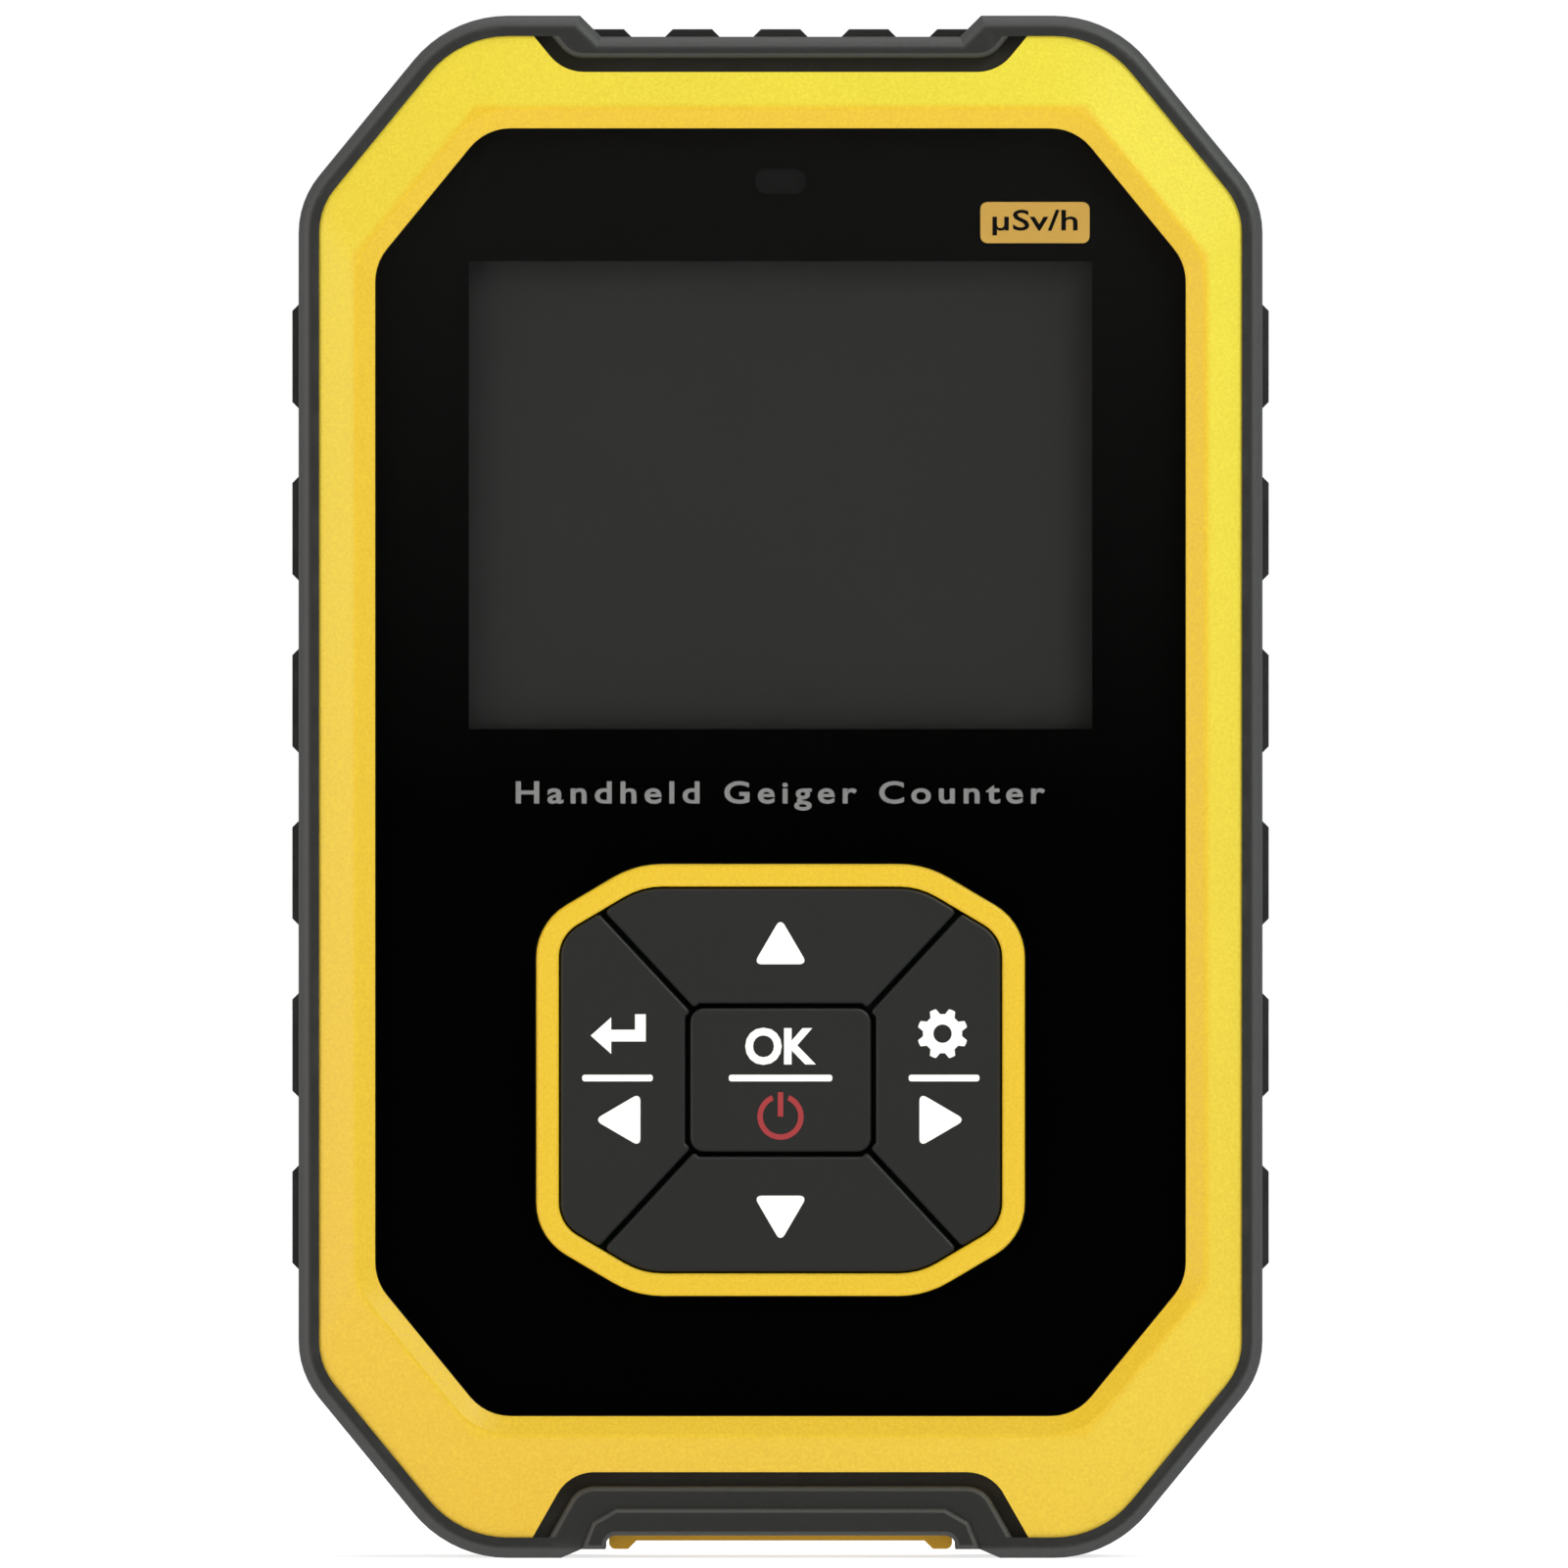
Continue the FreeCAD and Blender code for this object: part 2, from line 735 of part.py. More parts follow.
def make_front_shell():
    body = body_named("front_shell")
    face_pad(body, case_outline("bumper_wall"), "rim_drop", "parting - rim_drop", name="Sides")
    edge = outline(face_sketch(body, "FrameEdge", "rim_drop"), case_outline("bumper_wall"))
    crest_grow = "ridge_width + ridge_flat / 2"
    crest = outline(face_sketch(body, "Crest", "0"), window_outline(crest_grow))
    loft(body, "AdditiveLoft", edge, crest)
    inner = outline(face_sketch(body, "CrestInside", "0"), window_outline("ridge_width - ridge_flat / 2"))
    window = outline(face_sketch(body, "Window", "window_drop"), window_outline("0"))
    loft(body, "SubtractiveLoft", inner, window)
    face_pocket(body, window_outline("0"), "window_drop", less(PLATE_FRONT, "window_drop"), name="LensSeat")
    near_inset = plus("bumper_wall", "low_notch_depth", "notch_wall")
    wall_inset = plus("bumper_wall", "shell_wall")
    face_pocket(body, case_outline(wall_inset, near_inset), PLATE_BACK, less("cavity_drop", PLATE_BACK))
    face_pocket(body, case_outline(wall_inset, CAVITY_INSET), "cavity_drop", "parting - cavity_drop")
    for end in ("top", "low"):
        face_pocket(body, mirrored_corners(notch_corners(end)), "0", "notch_drop", name="Notch")
        step_depth = "parting - notch_drop"
        face_pocket(body, mirrored_corners(step_corners(end)), "notch_drop", step_depth, name="Step")
    ring_height = less(PLATE_FRONT, "ring_drop")
    face_pad(body, keypad_outline("0"), PLATE_FRONT, ring_height, away=False, name="Ring")
    face_pocket(body, keypad_outline("-ring_wall"), "ring_drop", less(PLATE_BACK, "ring_drop"))
    fillet(body, at_depth("ring_drop"), "ring_edge")
    display = centred_block(
        "display_half_width + display_margin",
        "display_half_height + display_margin",
        DISPLAY_Z,
        "display_margin",
    )
    face_pocket(body, display, PLATE_FRONT, "plate_thickness", name="DisplayOpening")
    lamp = centred_block("lamp_half_width + lamp_gap", "lamp_half_height + lamp_gap", LAMP_Z, "lamp_round")
    face_pocket(body, lamp, PLATE_FRONT, "plate_thickness", name="LampOpening")
    bosses = four_places(BOSS_X, BOSS_Z)
    round_features(body, bosses, "boss_radius", PLATE_BACK, less("parting", PLATE_BACK), pad, "Bosses")
    screw_end = "parting - case_screw_bite - screw_room"
    pilot = "case_screw_radius + screw_gap"
    round_features(body, bosses, pilot, screw_end, "case_screw_bite + screw_room", pocket, "Pilots")
    posts = four_places(POST_X, POST_Z)
    round_features(body, posts, "post_radius", PLATE_BACK, less("board_drop", PLATE_BACK), pad, "Posts")
    post_end = "board_drop - board_screw_bite - screw_room"
    pilot = "board_screw_radius + screw_gap"
    round_features(body, posts, pilot, post_end, "board_screw_bite + screw_room", pocket, "PostPilots")
    mouth = socket_block(
        "socket_half_width + socket_gap", "socket_half_depth + socket_gap", "socket_round + socket_gap"
    )
    level_cut(body, mouth, "bumper_wall", "end_wall", name="SocketMouth")


def bumper_sides(body, behind, length, edge_drop, radius):
    """A bumper's outside: its round outer edge, the valley in its top and the arch between its feet."""
    face_pad(body, case_outline("0"), behind, length, name="Sides")
    valley = [
        ("valley_ramp + step_depth", "case_height + step_depth", None),
        ("valley_ramp - valley_depth", "case_height - valley_depth", None),
    ]
    face_pocket(body, mirrored_corners(valley), behind, length, name="Valley")
    fillet(body, at_depth(edge_drop), radius)
    arch = [
        ("arch_half_width", "arch_height", "arch_round"),
        ("arch_half_width", "foot_rise", None),
        ("foot_inside - foot_ramp", "foot_rise", None),
        ("foot_inside", "0", None),
        ("foot_inside", "-step_depth", None),
    ]
    face_pocket(body, mirrored_corners(arch), behind, length, name="Arch")


def grips(body, behind, length):
    """Pads on both sides, with bevelled ends."""
    sketch = face_sketch(body, "Grip", behind)
    middle = "(case_height / 2 - grip_pitch * (grip_count - 1) / 2)"
    foot = "grip_half_length + bumper_round"
    inside, outside = "case_half_width - bumper_round", "case_half_width + grip_height"
    for side in ("", "-"):
        corners = [
            (f"{side}({inside})", less(middle, foot), None),
            (f"{side}({outside})", less(middle, "grip_half_length - grip_height"), None),
            (f"{side}({outside})", plus(middle, "grip_half_length - grip_height"), None),
            (f"{side}({inside})", plus(middle, foot), None),
        ]
        outline(sketch, corners)
    feature = pad(body, sketch, length, away=True)
    row_of(body, feature, "Z_Axis", "grip_pitch", "grip_count")


def ribs(body, behind, length):
    """Anti-slip ribs across the valley in the top."""
    sketch = face_sketch(body, "Rib", behind)
    middle = "-rib_pitch * (rib_count - 1) / 2"
    foot, top = "case_height - valley_depth", "case_height - valley_depth + rib_height"
    buried = "(bumper_wall - valley_depth / 2) / 2"
    wide = f"rib_half_width + rib_height + {buried}"
    corners = [
        (less(middle, wide), less(foot, buried), None),
        (less(middle, "rib_half_width"), top, None),
        (plus(middle, "rib_half_width"), top, None),
        (plus(middle, wide), less(foot, buried), None),
    ]
    feature = pad(body, outline(sketch, corners), length, away=True)
    row_of(body, feature, "X_Axis", "rib_pitch", "rib_count")


def make_front_bumper():
    body = body_named("front_bumper")
    bumper_sides(body, "lip_drop", "parting - lip_drop", "lip_drop", "bumper_round")
    face_pocket(body, notched_outline(), "lip_drop", "notch_drop - lip_drop", name="FrameOpening")
    face_pocket(body, stepped_outline(), "notch_drop", "parting - notch_drop")
    for end in ("top", "low"):
        groove = notch_corners(end)[::-1] + notch_corners(end, "notch_groove")
        face_pocket(body, mirrored_corners(groove), "lip_drop", "notch_groove_depth", name="Groove")
    fillet(body, wall_fronts(body, "lip_drop", "lip_drop + notch_groove_depth"), "notch_roll")
    bead = [
        ("arch_half_width", "arch_height", "arch_round"),
        ("arch_half_width", "foot_rise", None),
        ("foot_inside - foot_ramp", "foot_rise", None),
        ("arch_half_width + arch_rim_width / 2", "arch_height + arch_rim_width / 2", None),
        ("arch_half_width - arch_round", "arch_height + arch_rim_width", None),
    ]
    face_pad(body, mirrored_corners(bead), "lip_drop", "arch_rim_rise", away=False, name="ArchBead")
    fillet(body, at_depth("lip_drop - arch_rim_rise"), "arch_rim_round")
    ribs(body, "rib_start", "parting - rib_start")
    grips(body, "grip_margin", "parting - grip_margin")
    plug = socket_block("plug_half_width", "plug_half_depth", "plug_round")
    level_cut(body, plug, "0", SHELL_LOW, name="PlugOpening")


# Holes in the sound grille, in steps of its pitch.
GRILLE = [(i, k) for i in (-1, 0, 1) for k in (-1, 0, 1)]


def make_rear_shell():
    body = body_named("rear_shell")
    depth = less(SHELL_BACK, "parting")
    face_pad(body, stepped_outline(), "parting", depth, name="Sides")
    wall_inset = plus("bumper_wall", "shell_wall")
    face_pocket(body, case_outline(wall_inset, CAVITY_INSET), "parting", less(CAVITY_BACK, "parting"))
    bay_half = plus(BAY_HALF, "bay_wall")
    bay_block = block(minus(bay_half), bay_half, SHELL_LOW, plus(BAY_TOP, "bay_wall"))
    face_pad(body, bay_block, BAY_INSIDE, less(SHELL_BACK, BAY_INSIDE), name="BayWalls")
    bay = block(minus(BAY_HALF), BAY_HALF, "0", BAY_TOP)
    face_pocket(body, bay, BAY_FLOOR, less(SHELL_BACK, BAY_FLOOR), name="Bay")
    pin_hole = sketch_on(body, "PinHole", "YZ_Plane", minus("pin_half_length + pin_gap"))
    circle(pin_hole, y_at(PIN_DROP), HINGE_Z, "pin_radius + pin_gap")
    pocket(body, pin_hole, "2 * (pin_half_length + pin_gap)", ahead=True)
    bosses = four_places(BOSS_X, BOSS_Z)
    round_features(body, bosses, "boss_radius", "parting", less(CAVITY_BACK, "parting"), pad, "Bosses")
    screw_hole = "case_screw_radius + screw_clearance"
    round_features(body, bosses, screw_hole, "parting", depth, pocket, "ScrewHoles")
    head_hole = "case_head_radius + screw_clearance"
    round_features(body, bosses, head_hole, HEAD_SEAT, less(SHELL_BACK, HEAD_SEAT), pocket, "Counterbores")
    vent_z = less(MIDDLE, "vent_fall")
    vent = centred_block("vent_half_width", "vent_half_height", vent_z, "vent_round", minus(TUBE_X))
    slot = face_pocket(body, vent, CAVITY_BACK, "rear_wall", name="Vent")
    row_of(body, slot, "Z_Axis", "vent_pitch", "vent_count")
    buzzer_z = board_z("buzzer")
    sound = [(f"buzzer_x + {i} * grille_pitch", f"{buzzer_z} + {k} * grille_pitch") for i, k in GRILLE]
    round_features(body, sound, "grille_radius", CAVITY_BACK, "rear_wall", pocket, "Grille")


def make_rear_bumper():
    body = body_named("rear_bumper")
    bumper_sides(body, "parting", "case_depth - parting", "case_depth", "rear_round")
    face_pocket(body, stepped_outline(), "parting", less(SHELL_BACK, "parting"))
    face_pocket(body, case_outline("rear_lip_width"), SHELL_BACK, "rear_lip", name="BackOpening")
    bay = block(minus(BAY_HALF), BAY_HALF, "-step_depth", "rear_lip_width + step_depth")
    face_pocket(body, bay, BAY_FLOOR, less("case_depth", BAY_FLOOR), name="StandOpening")
    ribs(body, "parting", "case_depth - parting - rib_start")
    grips(body, "parting", "case_depth - parting - grip_margin")


# ---------------------------------------------------------------- window, display and indicator


def make_lens():
    body = body_named("front_lens")
    face_pad(body, window_outline("-lens_gap"), "lens_drop", "lens_thickness")
    face_pocket(body, keypad_outline("lens_gap"), "lens_drop", "lens_thickness", name="KeypadOpening")
    tape = body_named("lens_tape")
    face_pad(tape, window_outline("-2 * lens_gap"), LENS_BACK, "tape_thickness")
    face_pocket(tape, window_outline("-2 * lens_gap - tape_width"), LENS_BACK, "tape_thickness")


def make_display():
    half = "lcd_half_height"
    low, high = less(DISPLAY_Z, half), plus(DISPLAY_Z, half)
    glass_back = plus(SEAT, "lcd_glass")
    node("lcd_panel", brick("PanelGlass", "-lcd_left", "lcd_right", SEAT, glass_back, low, high))
    node("lcd_backlight", brick("Backlight", "-lcd_left", "lcd_left", glass_back, LCD_BACK, low, high))
    ribbon = body_named("lcd_ribbon")
    bend = plus("lcd_right", "ribbon_thickness")
    socket_front = "board_drop - ribbon_socket_height"
    socket_edge = "ribbon_socket_x + ribbon_socket_half_width"
    inside = y_at(plus(glass_back, "ribbon_thickness"))
    back = y_at(plus(socket_front, "ribbon_socket_height / 2"))
    corners = [
        ("lcd_left + seat_gap", y_at(glass_back), None),
        (plus(bend, "ribbon_thickness"), y_at(glass_back), "3 * ribbon_thickness"),
        (plus(bend, "ribbon_thickness"), plus(back, "ribbon_thickness"), "3 * ribbon_thickness"),
        (socket_edge, plus(back, "ribbon_thickness"), None),
        (socket_edge, back, None),
        (bend, back, "2 * ribbon_thickness"),
        (bend, inside, "2 * ribbon_thickness"),
        ("lcd_left + seat_gap", inside, None),
    ]
    sketch = sketch_on(ribbon, "Ribbon", "XY_Plane", less(DISPLAY_Z, "ribbon_half_height"))
    pad(ribbon, outline(sketch, corners), "2 * ribbon_half_height")
    pads = []
    for side in (-1, 1):
        for end in (-1, 1):
            x = f"({side}) * (lcd_left - foam_half_width) - foam_half_width"
            z = plus(DISPLAY_Z, f"({end}) * (lcd_half_height - foam_half_height)")
            z0, z1 = less(z, "foam_half_height"), plus(z, "foam_half_height")
            pads.append(brick("Foam", x, plus(x, "2 * foam_half_width"), LCD_BACK, "board_drop", z0, z1))
    node("lcd_foam_pads", *pads)


def make_indicator():
    body = body_named("light_pipe")
    led_front = "board_drop - indicator_height - seat_gap"
    pill = centred_block("lamp_half_width", "lamp_half_height", LAMP_Z, "lamp_round")
    face_pad(body, pill, PLATE_FRONT, less(led_front, PLATE_FRONT), name="Pipe")
    flange = centred_block(
        "lamp_half_width + lamp_flange", "lamp_half_height + lamp_flange", LAMP_Z, "lamp_round"
    )
    face_pad(body, flange, PLATE_BACK, "lamp_flange", name="Flange")
    node("indicator_led", board_brick("indicator", front=True))


# ---------------------------------------------------------------- keypad

KEYHOLE_REACH = "(ring_reach - ring_wall)"
KEYHOLE_X = "(ring_half_width - ring_wall)"
KEYHOLE_Y = "(ring_half_height - ring_wall)"
# The sum of x and y along the cut corners of the opening round the middle key.
CELL_REACH = "(cell_half_width + cell_half_height - (2 - sqrt(2)) * cell_bend)"


def sector_key_outline(upright, grow):
    """A sector key about the keypad's middle, on the upper or the right side, grown at its rim.

    Each groove runs from the middle of a cut corner of the ring's opening towards the middle key.
    """
    bend_x = f"({KEYHOLE_REACH} - {KEYHOLE_Y} * cos(ring_angle)) / sin(ring_angle)"
    bend_y = f"({KEYHOLE_REACH} - {KEYHOLE_X} * sin(ring_angle)) / cos(ring_angle)"
    corner_x, corner_y = f"({bend_x} + {KEYHOLE_X}) / 2", f"({bend_y} + {KEYHOLE_Y}) / 2"
    shift = "groove_half_width" if upright else "(-groove_half_width)"

    def on_groove(along):
        """A place on the key's side of the groove."""
        x = f"{corner_x} + {along} * cos(groove_angle) - {shift} * sin(groove_angle)"
        y = f"{corner_y} + {along} * sin(groove_angle) + {shift} * cos(groove_angle)"
        return x, y

    rim = f"(({grow}) - {shift} * cos(groove_angle + ring_angle)) / sin(groove_angle + ring_angle)"
    turn = f"{shift} * (sin(groove_angle) - cos(groove_angle))"
    cell = f"(({CELL_REACH} - {corner_x} - {corner_y} + {turn}) / (sin(groove_angle) + cos(groove_angle)))"
    near_cell = [(*on_groove(cell), "key_tip"), (*on_groove(rim), "key_round")]
    half_x, half_y = plus(KEYHOLE_X, grow), plus(KEYHOLE_Y, grow)
    reach = plus(KEYHOLE_REACH, grow)
    bend = less("ring_round_end" if upright else "ring_round_side", "ring_wall", minus(grow))
    if upright:
        inside = (less(CELL_REACH, "cell_half_height"), "cell_half_height", "key_tip")
        end_x = f"(({reach}) - ({half_y}) * cos(ring_angle)) / sin(ring_angle)"
        return [inside, *near_cell, (end_x, half_y, bend)]
    inside = ("cell_half_width", less(CELL_REACH, "cell_half_width"), "key_tip")
    side_y = f"(({reach}) - ({half_x}) * sin(ring_angle)) / cos(ring_angle)"
    return [inside, *near_cell, (half_x, side_y, bend)]


def placed_key_outline(side, grow):
    """The outline of the key on the up, down, left or right side, where it stands."""
    upright = side in ("up", "down")
    half = sector_key_outline(upright, grow)
    sign = "-" if side in ("down", "left") else ""
    if upright:
        mirror = [(minus(x), y, radius) for x, y, radius in reversed(half)]
        corners = half + mirror
        return [(x, f"{KEYPAD_Z} {sign or '+'} ({y})", radius) for x, y, radius in corners]
    mirror = [(x, minus(y), radius) for x, y, radius in reversed(half)]
    return [(f"{sign}({x})", plus(KEYPAD_Z, y), radius) for x, y, radius in half + mirror]


def stem(body, x, z, behind):
    sketch = circle(face_sketch(body, "Stem", behind), x, z, "stem_radius")
    pad(body, sketch, less(PLUNGER_TOP, behind, "stem_gap"), away=True)


def plunger_and_switch(name, x, z):
    """The switch under a key and the plunger that the key's stem presses."""
    reach = "plunger_rise + plunger_reach"
    node(f"plunger_{name}", rod("Plunger", "back", x, PLUNGER_TOP, z, "plunger_radius", reach))
    half = "switch_half_width"
    z0, z1 = less(z, half), plus(z, half)
    housing = brick("SwitchHousing", less(x, half), plus(x, half), SWITCH_TOP, "board_drop", z0, z1)
    depth = "switch_height - switch_floor"
    hole = rod("SwitchHole", "back", x, SWITCH_TOP, z, "plunger_radius + plunger_gap", depth)
    return cut("Switch", housing, hole)


KEY_PLACES = {
    "up": ("0", plus(KEYPAD_Z, "end_key_z")),
    "down": ("0", less(KEYPAD_Z, "end_key_z")),
    "left": ("-side_key_x", KEYPAD_Z),
    "right": ("side_key_x", KEYPAD_Z),
    "ok": ("0", KEYPAD_Z),
}


def make_sector_key(side):
    body = body_named(f"key_{side}")
    face_pad(body, placed_key_outline(side, "-key_gap"), "key_drop", less(SEAT, "key_drop"), name="Cap")
    face_pad(body, placed_key_outline(side, "key_flange"), SEAT, "key_flange_thickness", name="Flange")
    stem(body, *KEY_PLACES[side], FLANGE_BACK)
    fillet(body, at_depth("key_drop"), "key_edge")


def make_ok_key():
    body = body_named("key_ok")
    cap_x, cap_y = "cell_half_width - cell_gap", "cell_half_height - cell_gap"
    cap = centred_block(cap_x, cap_y, KEYPAD_Z, "cell_round")
    face_pad(body, cap, "key_drop", less(OK_FLANGE, "key_drop"), name="Cap")
    flange = centred_block(
        "cell_half_width + ok_flange", "cell_half_height + ok_flange", KEYPAD_Z, "cell_round"
    )
    face_pad(body, flange, OK_FLANGE, "ok_flange_thickness", name="Flange")
    stem(body, *KEY_PLACES["ok"], plus(OK_FLANGE, "ok_flange_thickness"))
    fillet(body, at_depth("key_drop"), "key_edge")


def make_keypad():
    for side in ("up", "down", "left", "right"):
        make_sector_key(side)
    make_ok_key()
    node("tact_switches", *[plunger_and_switch(name, *place) for name, place in KEY_PLACES.items()])


# ---------------------------------------------------------------- circuit board


def board_brick(part, front=False):
    """A rectangular part on one face of the board."""
    x, z, height = f"{part}_x", board_z(part), f"{part}_height"
    half_x, half_z = f"{part}_half_width", f"{part}_half_height"
    near = f"board_drop - {height}" if front else BOARD_BACK
    far = "board_drop" if front else plus(BOARD_BACK, height)
    return brick(part, less(x, half_x), plus(x, half_x), near, far, less(z, half_z), plus(z, half_z))


def make_board():
    body = body_named("main_board")
    side = octagon_side(
        "case_half_width - bumper_wall - shell_wall - board_side_gap",
        f"{MIDDLE} - bumper_wall - end_wall - board_end_gap",
        f"{CORNER_REACH} - board_cut",
        "corner_angle",
        MIDDLE,
        "board_round",
        "board_round",
    )
    face_pad(body, mirrored_corners(side), "board_drop", "board_thickness", name="Board")
    holes = four_places(POST_X, POST_Z)
    hole_radius = "board_screw_radius + screw_clearance"
    round_features(body, holes, hole_radius, "board_drop", "board_thickness", pocket, "ScrewHoles")
    node("controller_chip", board_brick("controller"))
    node("charger_chip", board_brick("charger"))
    node("ribbon_socket", board_brick("ribbon_socket", front=True))
    node("lead_socket", board_brick("lead_socket"))
    winding = rod(
        "Winding", "back", "transformer_x", BOARD_BACK, board_z("transformer"),
        "transformer_half_width", "transformer_height",
    )
    node("high_voltage_coil", winding)


def make_buzzer():
    z = board_z("buzzer")
    case = rod("BuzzerCase", "back", "buzzer_x", BOARD_BACK, z, "buzzer_half_width", "buzzer_height")
    hole_start = plus(BOARD_BACK, "buzzer_height / 2")
    hole = rod("BuzzerHole", "back", "buzzer_x", hole_start, z, "grille_radius * 2", "buzzer_height")
    node("buzzer", cut("Buzzer", case, hole))


def make_socket():
    shell = body_named("socket_shell")
    sketch = sketch_on(shell, "Shell", "XY_Plane", SHELL_LOW)
    mouth = socket_block("socket_half_width", "socket_half_depth", "socket_round")
    pad(shell, outline(sketch, mouth), "socket_length")
    inside = socket_block(
        "socket_half_width - socket_wall", "socket_half_depth - socket_wall", "socket_round - socket_wall"
    )
    level_cut(shell, inside, SHELL_LOW, "socket_length - socket_floor")
    tongue = body_named("socket_tongue")
    root = plus(SHELL_LOW, "socket_length - socket_floor")
    sketch = sketch_on(tongue, "Tongue", "XY_Plane", less(root, "tongue_length"))
    blade = socket_block("tongue_half_width", "tongue_half_depth", None)
    pad(tongue, outline(sketch, blade), "tongue_length")


# ---------------------------------------------------------------- fasteners


def screw(name, x, z, seat, radius, bite, head_radius, head_height):
    """A pan-head screw driven forwards, with a round recess in its head."""
    shank = rod(f"{name}Shank", "back", x, less(seat, bite), z, radius, bite)
    head = rod(f"{name}Head", "back", x, seat, z, head_radius, head_height)
    recess = rod(
        f"{name}Recess", "back", x, less(plus(seat, head_height), "recess_depth"), z,
        "recess_radius", "recess_depth",
    )
    return cut(name, fuse(f"{name}Blank", shank, head), recess)


def make_screws():
    bite = less(HEAD_SEAT, "parting - case_screw_bite")
    sizes = ("case_screw_radius", bite, "case_head_radius", "case_head_height")
    places = four_places(BOSS_X, BOSS_Z)
    node("case_screws", *[screw("CaseScrew", x, z, HEAD_SEAT, *sizes) for x, z in places])
    bite = "board_thickness + board_screw_bite"
    sizes = ("board_screw_radius", bite, "board_head_radius", "board_head_height")
    places = four_places(POST_X, POST_Z)
    node("board_screws", *[screw("BoardScrew", x, z, BOARD_BACK, *sizes) for x, z in places])


# ---------------------------------------------------------------- kickstand and label


def make_kickstand():
    body = body_named("kickstand")
    top = f"{HINGE_Z} + stand_thickness / 2"
    side = [
        ("stand_half_width", top, None),
        ("stand_half_width", "stand_foot_z", "stand_round"),
        ("stand_half_width - stand_toe", "stand_foot_z", None),
        ("stand_half_width - stand_toe - stand_arch", "stand_foot_z + stand_arch", None),
    ]
    face_pad(body, mirrored_corners(side), STAND_FRONT, "stand_thickness", name="Plate")
    relief_top = less(HINGE_Z, "relief_top_gap")
    relief = block("-relief_half_width", "relief_half_width", "relief_low_z", relief_top, "relief_round")
    face_pocket(body, relief, less(STAND_BACK, "relief_depth"), "relief_depth", name="Relief")
    top_z, long_edge = number(top), number("stand_half_width")
    is_top = lambda edge: all(abs(v.Z - top_z) < NEAR for v in edge.Vertexes) and edge.Length > long_edge
    fillet(body, is_top, "stand_thickness / 2 - pin_gap")
    hole = sketch_on(body, "PinHole", "YZ_Plane", minus("stand_half_width + stand_gap"))
    circle(hole, y_at(PIN_DROP), HINGE_Z, "pin_radius + pin_gap")
    pocket(body, hole, "2 * (stand_half_width + stand_gap)", ahead=True)
    pin = rod("Pin", "x", "-pin_half_length", PIN_DROP, HINGE_Z, "pin_radius", "2 * pin_half_length")
    node("kickstand_pin", pin)


def make_label():
    body = body_named("blank_label")
    middle = plus(MIDDLE, "label_rise")
    plate = centred_block("label_half_width", "label_half_height", middle, "label_round", "label_x")
    face_pad(body, plate, SHELL_BACK, "label_thickness")


# ---------------------------------------------------------------- tube


def tube_ring(name, z, inner, outer, length):
    """A hollow cylinder about the tube's axis."""
    wall = rod(f"{name}Wall", "z", minus(TUBE_X), TUBE_DROP, z, outer, length)
    bore = rod(f"{name}Bore", "z", minus(TUBE_X), TUBE_DROP, z, inner, length)
    return cut(name, wall, bore)


def make_tube():
    node("gm_tube", tube_ring("Tube", TUBE_LOW, "tube_radius - tube_wall", "tube_radius", "tube_length"))
    anode = rod("Anode", "z", minus(TUBE_X), TUBE_DROP, TUBE_LOW, "anode_radius", "tube_length")
    node("gm_tube_anode", anode)
    cap_outer = "(tube_radius + cap_gap + cap_wall)"
    ends = {"low": (TUBE_LOW, 1), "top": (plus(TUBE_LOW, "tube_length"), -1)}
    clips = []
    for end, (z, inwards) in ends.items():
        ring_z = z if inwards > 0 else less(z, "cap_length")
        disc_z = less(z, "cap_end") if inwards > 0 else z
        ring = tube_ring("CapRing", ring_z, "tube_radius + cap_gap", cap_outer, "cap_length")
        disc = rod("CapDisc", "z", minus(TUBE_X), TUBE_DROP, disc_z, cap_outer, "cap_end")
        node(f"gm_tube_cap_{end}", fuse("Cap", ring, disc))
        middle = plus(z, f"({inwards}) * cap_length / 2")
        clips.append(make_clip(middle, f"({cap_outer} + clip_gap)"))
    node("tube_clips", *clips)


def make_clip(middle, inner):
    """A spring clip that stands on the board and holds a tube cap."""
    low = less(middle, "clip_half_width")
    outer = plus(inner, "clip_wall")
    ring = tube_ring("ClipRing", low, inner, outer, "2 * clip_half_width")
    x, high = minus(TUBE_X), plus(middle, "clip_half_width")
    near, far = plus(TUBE_DROP, "tube_radius / 2"), plus(TUBE_DROP, "2 * tube_radius")
    z0, z1 = less(low, "clip_wall"), plus(high, "clip_wall")
    mouth = brick("ClipMouth", less(x, outer), plus(x, outer), near, far, z0, z1)
    x0, x1 = less(x, "clip_foot"), plus(x, "clip_foot")
    foot = brick("ClipFoot", x0, x1, BOARD_BACK, less(TUBE_DROP, inner), low, high)
    return fuse("Clip", cut("ClipSpring", ring, mouth), foot)


# ---------------------------------------------------------------- battery


def make_battery():
    body = body_named("battery")
    cell = centred_block(
        "battery_half_width", "battery_half_height", BATTERY_Z, "battery_round", "battery_x"
    )
    face_pad(body, cell, less(BATTERY_BACK, "battery_thickness"), "battery_thickness", name="Cell")
    tape = body_named("battery_tape")
    half_x, half_z = "battery_half_width / 2", "battery_half_height / 2"
    strip = centred_block(half_x, half_z, less(BATTERY_Z, half_z), None, "battery_x")
    face_pad(tape, strip, BATTERY_BACK, "battery_tape", name="Strip")
    start = less(BATTERY_Z, "battery_half_height")
    socket_back = plus(BOARD_BACK, "lead_socket_height")
    for colour, shift in (("red", "0"), ("black", "lead_spacing")):
        make_lead(f"battery_lead_{colour}", plus("lead_x", shift), start, socket_back)


